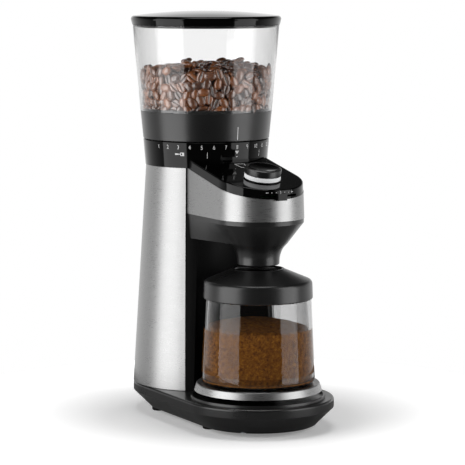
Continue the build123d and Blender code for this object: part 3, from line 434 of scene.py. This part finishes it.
# Plastics have tones, roughness, grain width and depth in millimetres, and specular level.
# Metals have tones, roughness and grain in millimetres.
FINISHES = {
    # Level scratches that draw each light out into an upright band
    "steel": brushed_stainless("belt_brushed_stainless", (7, 7, 0.3), "979797", "9D9D9D", 0.25, 0.7),
    # Deep black that mirrors the lights with sharp edges
    "gloss_black": moulded_plastic("polished_black_abs", "020202", "040404", 0.07, 6.0, 0.004, 0.2),
    # Near-black, fine-grained, with hardly a highlight
    "satin_black": moulded_plastic("textured_black_abs", "040404", "070707", 0.45, 0.8, 0.015, 0.07),
    # Charcoal with broad soft highlights that show how a part curves
    "dark_grey": moulded_plastic("satin_charcoal_abs", "131313", "191919", 0.3, 0.8, 0.005, 0.5),
    # Clear wall with painted grey shade at its rims, and two pale stripes from the lights
    "clear": clear_plastic("clear_copolyester", "FDFDFD", "A8A8A8", "F2F2F2"),
    # The same wall with a faint grey tint over what is in it, and painted grey shade at its rims
    "smoke_clear": clear_plastic("smoked_copolyester", "D8D8D8", "7C7C7C", "CACACA"),
    # Plain white band that glows a little
    "light_diffuser": glowing_diffuser(),
    # Dull black with no highlight
    "rubber": moulded_plastic("moulded_rubber", "090909", "101010", 0.75, 0.6, 0.03, 0.3),
    # Grey metal with a fine ground sheen
    "hard_steel": plain_metal("ground_tool_steel", "6F6E6D", "8C8B89", 0.28, (0.5, 0.5, 0.5)),
    # Bluish plated metal, slightly cloudy
    "zinc_screw": plain_metal("zinc_plated_steel", "8C9096", "B5B9BE", 0.34, (1.5, 1.5, 1.5)),
    # Waxy off-white
    "nylon": moulded_plastic("natural_nylon", "D6D0BE", "E6E1D2", 0.42, 1.2, 0.02),
    # Dull dark grey with a coarse grain
    "glass_nylon": moulded_plastic("glass_filled_nylon", "26272A", "333437", 0.55, 0.7, 0.03),
    # Pale metal with the lines of the milling cutter
    "aluminium": plain_metal("milled_aluminium", "A5A8AC", "C6C9CC", 0.3, (8, 0.6, 8)),
    # Brown, porous, dull metal
    "bronze": plain_metal("sintered_bronze", "6E4B20", "93692F", 0.42, (0.4, 0.4, 0.4)),
    # Glossy dark green of a circuit board
    "board_green": moulded_plastic("solder_resist_on_glass_epoxy", "0C3A1E", "125A2C", 0.3, 1.0, 0.01),
    # Orange-brown wire, turn on turn
    "copper_core": plain_metal("lacquered_copper_winding", "6A3416", "A65B2B", 0.36, (4, 4, 0.45)),
}
WHITE_INK = printed_ink("white_pad_print", "D9D9D9", "F2F2F2")
BEAN_SKIN = roasted_bean()
GROUNDS = coffee_grounds()


# ---------------------------------------------------------------- mesh helpers
def add_piece(name, mesh, material, body, slot, *replaced):
    """Show a mesh as a piece that rides on a CAD body, and hide the CAD nodes it stands for.

    The coffee takes its finish from no slot of the record.
    """
    mesh.materials.append(material)
    piece = bpy.data.objects.new(name, mesh)
    bpy.context.scene.collection.objects.link(piece)
    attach(piece, body)
    if replaced:
        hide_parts(*replaced)
    return piece


def finish_mesh(name, shape, sharp_angle):
    """Turn a bmesh into a smooth-shaded mesh with outward normals, sharp past the angle in degrees."""
    bmesh.ops.remove_doubles(shape, verts=shape.verts, dist=0.001 * MM)
    bmesh.ops.recalc_face_normals(shape, faces=shape.faces)
    mesh = bpy.data.meshes.new(name)
    shape.to_mesh(mesh)
    shape.free()
    mesh.shade_smooth()
    mesh.set_sharp_from_angle(angle=math.radians(sharp_angle))
    return mesh


def rounded(corners, arc_steps=6):
    """Outline from corners of radius, height and rounding, each rounding an arc that meets both sides."""
    outline = []
    for place, (r, z, rounding) in enumerate(corners):
        corner = Vector((r, z))
        if rounding == 0:
            outline.append(tuple(corner))
            continue
        back = (Vector(corners[place - 1][:2]) - corner).normalized()
        ahead = (Vector(corners[(place + 1) % len(corners)][:2]) - corner).normalized()
        half = back.angle(ahead) / 2
        centre = corner + (back + ahead).normalized() * rounding / math.sin(half)
        start = corner + back * rounding / math.tan(half) - centre
        end = corner + ahead * rounding / math.tan(half) - centre
        sweep = math.pi - 2 * half
        for step in range(arc_steps + 1):
            share = step / arc_steps
            spoke = start * math.sin((1 - share) * sweep) + end * math.sin(share * sweep)
            outline.append(tuple(centre + spoke / math.sin(sweep)))
    return outline


def lathe(name, axis, outline, steps=192, sharp_angle=35):
    """Turn a closed outline of radius and height in millimetres round an upright axis."""
    shape = bmesh.new()
    rings = []
    for step in range(steps):
        angle = 2 * math.pi * step / steps
        ring = []
        for r, z in outline:
            spot = (axis.x + r * MM * math.cos(angle), axis.y + r * MM * math.sin(angle), z * MM)
            ring.append(shape.verts.new(spot))
        rings.append(ring)
    for step, ring in enumerate(rings):
        after = rings[(step + 1) % steps]
        for first in range(len(outline)):
            second = (first + 1) % len(outline)
            if outline[first][0] == 0 and outline[second][0] == 0:
                continue
            shape.faces.new((ring[first], after[first], after[second], ring[second]))
    return finish_mesh(name, shape, sharp_angle)


# ---------------------------------------------------------------- clear hopper and jar
def clear_hopper():
    """Conical bean hopper with a rounded lip and a stepped foot that sits in its dark band."""
    outline = rounded(
        [
            (HOPPER_FOOT_R, HOPPER_FOOT, 0.5),
            (HOPPER_R, HOPPER_TOP, 0.6),
            (HOPPER_R - HOPPER_WALL, HOPPER_TOP, 0.6),
            (HOPPER_FOOT_R - HOPPER_WALL, HOPPER_FOOT, 0.5),
        ]
    )
    mesh = lathe("clear_hopper", HOPPER_AXIS, outline)
    add_piece("clear_hopper", mesh, FINISHES["clear"], "hopper", "clear", "hopper_body")


def jar_wall_r(z):
    """Inner radius of the jar at a height, in millimetres."""
    low_z = JAR_FOOT + JAR_HEEL
    share = (z - low_z) / (JAR_LID_FOOT - low_z)
    return JAR_R - JAR_WALL - share * (JAR_R - JAR_COLLAR_R)


def smoked_jar():
    """Jar with a thick floor, a rounded heel and a neck that goes into its lid."""
    outline = rounded(
        [
            (0, JAR_FOOT, 0),
            (JAR_R - 0.4, JAR_FOOT, 5.2),
            (JAR_NECK_R, JAR_LID_FOOT - 0.4, 0),
            (JAR_COLLAR_R, JAR_LID_FOOT - 0.2, 0),
            (JAR_COLLAR_R, JAR_TOP, 0.8),
            (JAR_COLLAR_R - JAR_WALL, JAR_TOP, 0.8),
            (JAR_COLLAR_R - JAR_WALL, JAR_LID_FOOT, 0),
            (JAR_R - JAR_WALL - 0.4, JAR_FOOT + JAR_FLOOR, 3.4),
            (0, JAR_FOOT + JAR_FLOOR, 0),
        ],
        arc_steps=8,
    )
    mesh = lathe("smoked_jar", SPOUT_AXIS, outline)
    add_piece("smoked_jar", mesh, FINISHES["smoke_clear"], "jar", "smoke_clear", "grounds_jar")


# ---------------------------------------------------------------- coffee
BEAN_LONG = 6.2  # half lengths of a bean, in millimetres
BEAN_WIDE = 4.6
BEAN_THICK = 3.4
BALL_R = 4.35  # spacing of the beans, as balls
BEAN_COUNT = 1240
BEAN_TOP = HOPPER_FOOT + 46
FALL_TURNS = 150  # rounds in which the beans fall, and then rounds in which they only settle
SETTLE_TURNS = 70
FALL = 0.6
SETTLE = 0.15
PAIR_GAP = 4  # beans this much apart at most can come to touch before the pairs are found again


def hopper_inner_r(z):
    """Inner radius of the hopper at heights in millimetres."""
    share = (z - HOPPER_FOOT) / (HOPPER_TOP - HOPPER_FOOT)
    return HOPPER_FOOT_R - HOPPER_WALL + share * (HOPPER_R - HOPPER_FOOT_R)


POUR_R = 58
POUR_HEIGHTS = (3, 66)


def poured_balls():
    """Middles of the beans after they settle in the hopper, in millimetres from its axis."""
    rng = np.random.default_rng(7)
    angle = rng.uniform(0, 2 * math.pi, BEAN_COUNT)
    reach = POUR_R * np.sqrt(rng.uniform(0, 1, BEAN_COUNT))
    height = HOPPER_FOOT + rng.uniform(*POUR_HEIGHTS, BEAN_COUNT)
    balls = np.stack((reach * np.cos(angle), reach * np.sin(angle), height), axis=1)
    for turn in range(FALL_TURNS + SETTLE_TURNS):
        if turn % 5 == 0:
            apart = balls[:, None, :] - balls[None, :, :]
            near = (apart**2).sum(axis=2) < (2 * BALL_R + PAIR_GAP) ** 2
            first, second = np.nonzero(np.triu(near, 1))
        balls[:, 2] -= FALL if turn < FALL_TURNS else SETTLE
        for _ in range(4):
            way = balls[first] - balls[second]
            gap = np.maximum(np.sqrt((way**2).sum(axis=1)), 0.01)
            push = way * (np.clip(2 * BALL_R - gap, 0, None) / gap * 0.3)[:, None]
            for axis in range(3):
                balls[:, axis] += np.bincount(first, push[:, axis], BEAN_COUNT)
                balls[:, axis] -= np.bincount(second, push[:, axis], BEAN_COUNT)
            flat = np.hypot(balls[:, 0], balls[:, 1])
            room = hopper_inner_r(balls[:, 2]) - BALL_R
            squeeze = np.minimum(1, room / np.maximum(flat, 0.01))
            balls[:, 0] *= squeeze
            balls[:, 1] *= squeeze
            balls[:, 2] = np.maximum(balls[:, 2], HOPPER_FOOT + BALL_R - 1)
    return balls


CREASE_DEPTH_AND_SHADE = {0: (1.25, 1.0), 8: (0.5, 0.35)}  # depth of the crease, and share of painted shade in it, at turns from its middle
BELLY = 0.42  # flatness of the side with the crease


def bean_form():
    """Points of one bean, with a domed back and a flat, creased belly, and each point's share of painted crease
    shade.
    """
    half = (8, 17, 34, 58, 88, 118, 150)
    turns = (0, *half, 180, *(-turn for turn in half[::-1]))
    rings = []
    for step in range(1, 10):
        along = -math.cos(math.pi * step / 10)
        girth = math.sqrt(1 - along * along) ** 0.85
        ring = []
        for turn in turns:
            across = math.sin(math.radians(turn))
            drop = math.cos(math.radians(turn))
            z = -BEAN_THICK * drop * (BELLY if drop > 0 else 1.0) * girth
            # share is the painted shade in the crease
            depth, share = CREASE_DEPTH_AND_SHADE.get(abs(turn), (0, 0))
            wind = 0.35 * math.sin(along * 3) if abs(turn) < 40 else 0
            z += depth * girth
            ring.append(((BEAN_LONG * along, BEAN_WIDE * across * girth + wind, z), share))
        rings.append(ring)
    return rings


def turned_to(thick_axis, roll):
    """Rotation that puts a bean's back along an axis, with its length turned by roll."""
    axis = Vector(thick_axis).normalized()
    return axis.to_track_quat("Z", "X") @ Quaternion((0, 0, 1), roll)


HIDDEN_GAP = 15  # beans farther than this from the wall and below the top are not made
HIDDEN_DEPTH = 16


def coffee_beans():
    """Beans along the hopper's wall and over the top of the heap."""
    random.seed(11)
    shape = bmesh.new()
    tone_and_shade = shape.verts.layers.float_color.new("bean_tone_and_crease_shade")
    form = bean_form()
    for x, y, z in poured_balls():
        reach = math.hypot(x, y)
        wall_gap = hopper_inner_r(z) - reach
        if wall_gap > HIDDEN_GAP and z < BEAN_TOP - HIDDEN_DEPTH:
            continue
        outward = Vector((x, y, 0)).normalized()
        roll = random.uniform(0, 2 * math.pi)
        tone = random.random()
        size = random.uniform(0.9, 1.06)
        wobble = Vector([random.uniform(-0.35, 0.35) for _ in range(3)])
        if wall_gap < BALL_R + 3.2:
            side = random.choice((1, 1, -1))
            turn = turned_to(outward * side + wobble * 0.3, roll)
            nudge = outward * (wall_gap - BEAN_THICK * 1.12)
        else:
            turn = turned_to(Vector([random.uniform(-0.6, 0.6) for _ in range(2)] + [1]), roll)
            nudge = Vector((0, 0, 0))
        spot = Vector((x, y, z)) + nudge
        place = Matrix.Translation(spot) @ turn.to_matrix().to_4x4() @ Matrix.Scale(size, 4)
        rings = []
        for ring in form:
            made = []
            for point, crease in ring:
                where = place @ Vector(point)
                limit = hopper_inner_r(where.z) - 0.15
                flat = math.hypot(where.x, where.y)
                if flat > limit:
                    where.x *= limit / flat
                    where.y *= limit / flat
                vertex = shape.verts.new(
                    (HOPPER_AXIS.x + where.x * MM, HOPPER_AXIS.y + where.y * MM, where.z * MM)
                )
                # second channel: share of painted shade in the crease
                vertex[tone_and_shade] = (tone, crease, 0, 1)
                made.append(vertex)
            rings.append(made)
        for first, second in zip(rings, rings[1:]):
            for step in range(len(first)):
                after = (step + 1) % len(first)
                shape.faces.new((first[step], first[after], second[after], second[step]))
        for ring in (rings[0][::-1], rings[-1]):
            shape.faces.new(ring)
    mesh = bpy.data.meshes.new("coffee_beans")
    bmesh.ops.recalc_face_normals(shape, faces=shape.faces)
    shape.to_mesh(mesh)
    shape.free()
    mesh.shade_smooth()
    add_piece("coffee_beans", mesh, BEAN_SKIN, "hopper", None)


def heap(name, axis, foot, wall_r, top_z, rings, steps):
    """Closed heap. wall_r gives its side's radius at a height, top_z its height at a share of that radius."""
    shape = bmesh.new()
    foot_ring = []
    columns = []
    for step in range(steps):
        angle = 2 * math.pi * step / steps
        heading = Vector((math.cos(angle), math.sin(angle)))
        edge = top_z(1.0, angle)
        column = []
        for side_step in range(5):
            z = foot + (edge - foot) * side_step / 5
            column.append((wall_r(z), z))
        for ring in range(rings):
            share = 1 - ring / rings
            column.append((wall_r(edge) * share, top_z(share, angle)))
        columns.append([shape.verts.new((*(axis + heading * r * MM), z * MM)) for r, z in column])
        foot_ring.append(columns[-1][0])
    crest = shape.verts.new((axis.x, axis.y, top_z(0.0, 0.0) * MM))
    for step, column in enumerate(columns):
        after = columns[(step + 1) % steps]
        for first in range(len(column) - 1):
            shape.faces.new((column[first], after[first], after[first + 1], column[first + 1]))
        shape.faces.new((column[-1], after[-1], crest))
    shape.faces.new(foot_ring[::-1])
    return finish_mesh(name, shape, 80)


def bean_core():
    """Lumpy heap that stands for the beans inside, painted dark as the shade among them."""

    def top(share, angle):
        spot = Vector((3 * share * math.cos(angle), 3 * share * math.sin(angle), 0))
        return BEAN_TOP - 13 + 2.5 * noise.noise(spot)

    def side(z):
        return hopper_inner_r(z) - 10

    mesh = heap("bean_core", HOPPER_AXIS, HOPPER_FOOT + 0.3, side, top, rings=12, steps=64)
    tone_and_shade = mesh.color_attributes.new("bean_tone_and_crease_shade", "FLOAT_COLOR", "POINT")
    for value in tone_and_shade.data:
        # darkest tone and three quarters of the painted crease shade: painted shade deep in the heap
        value.color = (0.0, 0.75, 0, 1)
    add_piece("bean_core", mesh, BEAN_SKIN, "hopper", None)


GROUNDS_EDGE = 98.7  # height of the grounds at the wall, and of their cone above that
GROUNDS_CREST = 8.4


def ground_r(z):
    """Radius of the ground coffee, which follows the jar and its rounded heel."""
    heel = max(0.0, JAR_FOOT + JAR_HEEL - z)
    return jar_wall_r(z) - 0.25 - 0.42 * heel


def ground_coffee():
    """Ground coffee that fell in a low cone under the spout."""

    def top(share, angle):
        spot = Vector((6 * share * math.cos(angle), 6 * share * math.sin(angle), 2))
        lean = -1.6 * share * math.cos(angle)
        rough = 1.1 * noise.noise(spot) + 0.45 * noise.noise(spot * 4)
        cone = GROUNDS_CREST * (1 - share**1.5)
        return GROUNDS_EDGE + cone + lean + rough * (0.35 + share * (1 - share) * 2)

    mesh = heap("ground_coffee", SPOUT_AXIS, JAR_FOOT + 3.2, ground_r, top, rings=36, steps=160)
    add_piece("ground_coffee", mesh, GROUNDS, "jar", None)


# ---------------------------------------------------------------- printed marks
INK = 0.04  # thickness of the ink, in millimetres
INK_LIFT = 0.02  # its gap from the plastic


def collar_r(z):
    """Radius of the collar's face at a height, in millimetres."""
    share = (z - COLLAR_FOOT) / (COLLAR_TOP - COLLAR_FOOT)
    return COLLAR_FOOT_R + share * (COLLAR_R - COLLAR_FOOT_R)


def about(axis, r, turn, z):
    """Point at a radius and height in millimetres, turned from the front to the right."""
    return Vector((axis.x + r * MM * math.sin(turn), axis.y - r * MM * math.cos(turn), z * MM))


def round_collar(point, angle, height):
    """Place of a point of flat artwork, in millimetres, wrapped on the collar."""
    z = height + point.y
    r = collar_r(z) + point.z + INK_LIFT
    return about(HOPPER_AXIS, r, math.radians(angle) + point.x / COLLAR_R, z)


def slab(shape, corners, wrap):
    """Thin solid of ink over a polygon of flat corners."""
    low = [shape.verts.new(wrap(Vector((x, y, 0)))) for x, y in corners]
    high = [shape.verts.new(wrap(Vector((x, y, INK)))) for x, y in corners]
    shape.faces.new(low[::-1])
    shape.faces.new(high)
    for first in range(len(corners)):
        second = (first + 1) % len(corners)
        shape.faces.new((low[first], low[second], high[second], high[first]))


def add_marks(name, shape, body):
    """Show ink as a piece that rides on a CAD body."""
    add_piece(name, finish_mesh(name, shape, 30), WHITE_INK, body, "light_diffuser")


def bar(x, y, width, height):
    """Corners of an upright rectangle about a middle."""
    w, h = width / 2, height / 2
    return [(x - w, y - h), (x + w, y - h), (x + w, y + h), (x - w, y + h)]


def disc(x, y, radius, steps=14):
    """Corners of a round dot."""
    spokes = [2 * math.pi * step / steps for step in range(steps)]
    return [(x + radius * math.cos(spoke), y + radius * math.sin(spoke)) for spoke in spokes]


def digits(shape, text, height_mm, wrap):
    """Dial number as thin ink, from the plain built-in letter forms."""
    curve = bpy.data.curves.new("number", "FONT")
    curve.body = text
    curve.size = height_mm * 1.42
    curve.align_x = "CENTER"
    curve.align_y = "CENTER"
    curve.extrude = INK / 2
    curve.resolution_u = 3
    holder = bpy.data.objects.new("number", curve)
    bpy.context.scene.collection.objects.link(holder)
    flat = bpy.data.meshes.new_from_object(holder.evaluated_get(bpy.context.evaluated_depsgraph_get()))
    for vertex in flat.vertices:
        vertex.co = wrap(Vector((vertex.co.x * 0.82, vertex.co.y, vertex.co.z + INK / 2)))
    shape.from_mesh(flat)
    bpy.data.objects.remove(holder)
    bpy.data.curves.remove(curve)
    bpy.data.meshes.remove(flat)


NUMBER_STEP = 11.0  # degrees between the grind numbers
NUMBER_Z = 269.3
MARK_Z = 262.4
MARK_TURN = 1.0  # turn of the marks from straight ahead, in degrees
INDEX_LINE = 12.6
LIMIT_TURN = 28
LOCK_ANGLE = -52.6


def collar_marks():
    """Grind numbers 1 to 15 round the collar, with the index, its limits and the lock sign below them."""
    shape = bmesh.new()
    for number in range(1, 16):
        angle = (number - 8) * NUMBER_STEP + MARK_TURN
        digits(shape, str(number), 4.0, lambda p, a=angle: round_collar(p, a, NUMBER_Z))

    def front(p):
        return round_collar(p, MARK_TURN, MARK_Z)

    def lock(p):
        return round_collar(p, LOCK_ANGLE, MARK_Z + 0.3)

    slab(shape, [(0, 0.2), (2.3, 3.4), (-2.3, 3.4)], front)
    slab(shape, disc(0, -2.4, 0.55), front)
    for side in (-LIMIT_TURN, LIMIT_TURN):
        slab(shape, bar(0, -0.5, 0.45, 6.2), lambda p, a=side + MARK_TURN: round_collar(p, a, MARK_Z))
    slab(shape, [(-5.2, -0.8), (0.6, -0.5), (0.6, 0.5), (-5.2, 0.8)], lock)
    slab(shape, bar(3.6, 0, 2.0, 3.4), lock)
    for height in (-1.3, 1.3):
        slab(shape, bar(1.7, height, 1.9, 0.7), lock)
    slab(shape, bar(0.9, 0, 0.7, 3.2), lock)
    add_marks("grind_numbers", shape, "grinder")


def hopper_index():
    """White line on the front of the hopper's band."""

    def band(point):
        z = BAND_FOOT + 1.6 + point.y
        r = BAND_FOOT_R + BAND_FLARE * (z - BAND_FOOT - 0.4) + point.z + INK_LIFT
        return about(HOPPER_AXIS, r, point.x / r + math.radians(MARK_TURN), z)

    shape = bmesh.new()
    slab(shape, bar(0, INDEX_LINE / 2, 0.8, INDEX_LINE), band)
    add_marks("hopper_index", shape, "hopper")


def on_panel(point):
    """Place of flat artwork on the sloping panel: x to the right, y up the slope from the dial's middle."""
    across = Vector((point.x, 0, 0))
    return DIAL_SPOT + (across - DOWN_SLOPE * point.y + DIAL_UP * (point.z + INK_LIFT)) * MM


def panel_sign():
    """Outlined cup sign beside the dial, drawn with bars of ink."""
    shape = bmesh.new()
    cup = [(-3, 51), (7, 51), (5.2, 39), (-1.2, 39)]
    for first, second in zip(cup, cup[1:] + cup[:1]):
        start = Vector(first)
        along = Vector(second) - start
        side = Vector((-along.y, along.x)).normalized() * 0.4
        corners = [start - side, start + along - side, start + along + side, start + side]
        slab(shape, [tuple(corner) for corner in corners], on_panel)
    add_marks("panel_sign", shape, "grinder")


PANEL_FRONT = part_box("control_panel")[0].y
SKIRT_R = (SPOUT_AXIS.y - PANEL_FRONT) / MM
SKIRT_Z = 232.6  # of the marks
SKIRT_FOOT = 225.6
SKIRT_DRAFT = 0.0325
SKIRT_LIFT = 0.05


def strength_marks():
    """Scale over the strength slider: minus, dots, a line at the middle, and plus."""
    shape = bmesh.new()

    def skirt(point, angle):
        z = SKIRT_Z + point.y
        r = SKIRT_R - SKIRT_DRAFT * (z - SKIRT_FOOT) + point.z + SKIRT_LIFT
        return about(SPOUT_AXIS, r, math.radians(angle) + point.x / SKIRT_R, z)

    level = bar(0, 0, 2.4, 0.5)
    marks = {-18: [level], 0: [bar(0, 0, 0.6, 3.0)], 18: [level, bar(0, 0, 0.5, 2.4)]}
    for angle in (-12, -6, 6, 12):
        marks[angle] = [disc(0, 0, 0.42)]
    for angle, shapes in marks.items():
        for corners in shapes:
            slab(shape, corners, lambda p, a=angle: skirt(p, a))
    add_marks("strength_marks", shape, "grinder")


# ---------------------------------------------------------------- the object
for entry in frame["record"]["subparts"]:
    part = frame["nodes"][entry["node"]]
    for slot in part.material_slots:
        slot.material = FINISHES[entry["material_slot"]]

clear_hopper()
smoked_jar()
coffee_beans()
bean_core()
ground_coffee()
collar_marks()
hopper_index()
panel_sign()
strength_marks()

# ---------------------------------------------------------------- camera
CAMERA_TURN = math.radians(28.6)
CAMERA_DIP = math.radians(6.744)
CAMERA_FAR = 2.2925  # from the hopper's axis
CAMERA_SIDE = 0.02631
CAMERA_HIGH = 0.450
LENS_MM = 177.48
AHEAD = Vector((math.sin(CAMERA_TURN), math.cos(CAMERA_TURN), 0))
RIGHT = Vector((math.cos(CAMERA_TURN), -math.sin(CAMERA_TURN), 0))
STAND = Vector((*HOPPER_AXIS, 0))

camera_data = bpy.data.cameras.new("camera")
camera_data.sensor_width = 36.0
camera_data.lens = LENS_MM
camera_data.clip_end = 50
camera = bpy.data.objects.new("camera", camera_data)
camera.location = STAND - AHEAD * CAMERA_FAR + RIGHT * CAMERA_SIDE + Vector((0, 0, CAMERA_HIGH))
camera.rotation_euler = (math.pi / 2 - CAMERA_DIP, 0, -CAMERA_TURN)
bpy.context.scene.collection.objects.link(camera)
bpy.context.scene.camera = camera
bpy.context.scene.view_settings.view_transform = "Standard"


# ---------------------------------------------------------------- floor and light
TABLE_R = 0.34


def pale_floor():
    """Plain pale table top with painted light: to the eye it glows, more away from the object; what the object
    mirrors of it is a painted dimmer grey.
    """
    material, tree, output = empty_material("pale_table")
    place = add_node(tree, "ShaderNodeTexCoord")
    reach = add_node(tree, "ShaderNodeVectorMath", {"operation": "LENGTH"}, {0: place.outputs["Object"]})
    # painted light: to the eye the floor glows, weakly within 0.12 m of the middle and fully past 0.32 m, on top
    # of its lamp light
    painted_floor_glow = add_node(
        tree,
        "ShaderNodeMapRange",
        {"From Min": 0.12, "From Max": 0.32, "To Min": 0.2, "To Max": 1.0},
        {"Value": reach.outputs["Value"]},
    )
    seen = add_node(
        tree,
        "ShaderNodeBsdfPrincipled",
        {
            "Base Color": srgb("F6F6F6"),
            "Roughness": 0.6,
            "Specular IOR Level": 0.2,
            "Emission Color": srgb("FFFFFF"),
        },
        {"Emission Strength": painted_floor_glow.outputs[0]},
    )
    # painted shade: what the object mirrors of the floor is a dimmer grey than the floor the eye sees
    mirrored_painted_shade = add_node(tree, "ShaderNodeBsdfDiffuse", {"Color": srgb("A0A0A0")})
    mixed = add_node(
        tree,
        "ShaderNodeMixShader",
        None,
        {0: seen_by_eye(tree), 1: mirrored_painted_shade.outputs[0], 2: seen.outputs[0]},
    )
    tree.links.new(mixed.outputs[0], output.inputs[0])
    shape = bmesh.new()
    bmesh.ops.create_circle(shape, cap_ends=True, segments=128, radius=TABLE_R)
    mesh = bpy.data.meshes.new("table")
    shape.to_mesh(mesh)
    shape.free()
    mesh.materials.append(material)
    table = bpy.data.objects.new("table", mesh)
    bpy.context.scene.collection.objects.link(table)


def soft_box(name, bearing, distance, height, width, tall, radiance):
    """Area light that faces the object. Its bearing is in degrees from the camera's side, to the right."""
    light = bpy.data.lights.new(name, "AREA")
    light.shape = "RECTANGLE"
    light.size = width
    light.size_y = tall
    light.energy = radiance * math.pi * width * tall
    box = bpy.data.objects.new(name, light)
    turn = math.radians(bearing)
    spot = RIGHT * math.sin(turn) * distance - AHEAD * math.cos(turn) * distance
    box.location = spot + Vector((0, 0, height))
    aim = Vector((0, 0, min(height, 0.3))) - box.location
    box.rotation_euler = aim.to_track_quat("-Z", "Y").to_euler()
    bpy.context.scene.collection.objects.link(box)


def studio_air():
    """White to the eye. The object mirrors white low down behind it, and dimness elsewhere."""
    world = bpy.data.worlds.new("studio")
    world.use_nodes = True
    tree = world.node_tree
    tree.nodes.clear()
    heading = add_node(tree, "ShaderNodeTexCoord")
    facing = add_node(
        tree,
        "ShaderNodeVectorMath",
        {"operation": "DOT_PRODUCT", 1: AHEAD},
        {0: heading.outputs["Generated"]},
    )
    level = add_node(
        tree,
        "ShaderNodeMapRange",
        {"From Min": -0.35, "From Max": 0.8, "To Min": 0.06, "To Max": 1.0},
        {"Value": facing.outputs["Value"]},
    )
    parts = add_node(tree, "ShaderNodeSeparateXYZ", None, {0: heading.outputs["Generated"]})
    height = add_node(
        tree,
        "ShaderNodeMapRange",
        {"From Min": 0.16, "From Max": 0.42, "To Min": 1.0, "To Max": 0.04},
        {"Value": parts.outputs[2]},
    )
    faded = add_node(
        tree, "ShaderNodeMath", {"operation": "MULTIPLY"}, {0: level.outputs[0], 1: height.outputs[0]}
    )
    strength = add_node(
        tree,
        "ShaderNodeMath",
        {"operation": "MAXIMUM"},
        {0: seen_by_eye(tree), 1: faded.outputs[0]},
    )
    background = add_node(
        tree, "ShaderNodeBackground", {"Color": (1, 1, 1, 1)}, {"Strength": strength.outputs[0]}
    )
    output = add_node(tree, "ShaderNodeOutputWorld", None, {0: background.outputs[0]})
    output.is_active_output = True
    bpy.context.scene.world = world


pale_floor()
studio_air()
soft_box("left_soft_box", bearing=-62, distance=1.25, height=0.35, width=1.15, tall=1.9, radiance=3.1)
soft_box("right_soft_box", bearing=67, distance=1.25, height=0.35, width=0.9, tall=1.9, radiance=2.7)
soft_box("top_soft_box", bearing=10, distance=0.05, height=1.7, width=0.9, tall=0.9, radiance=3.6)
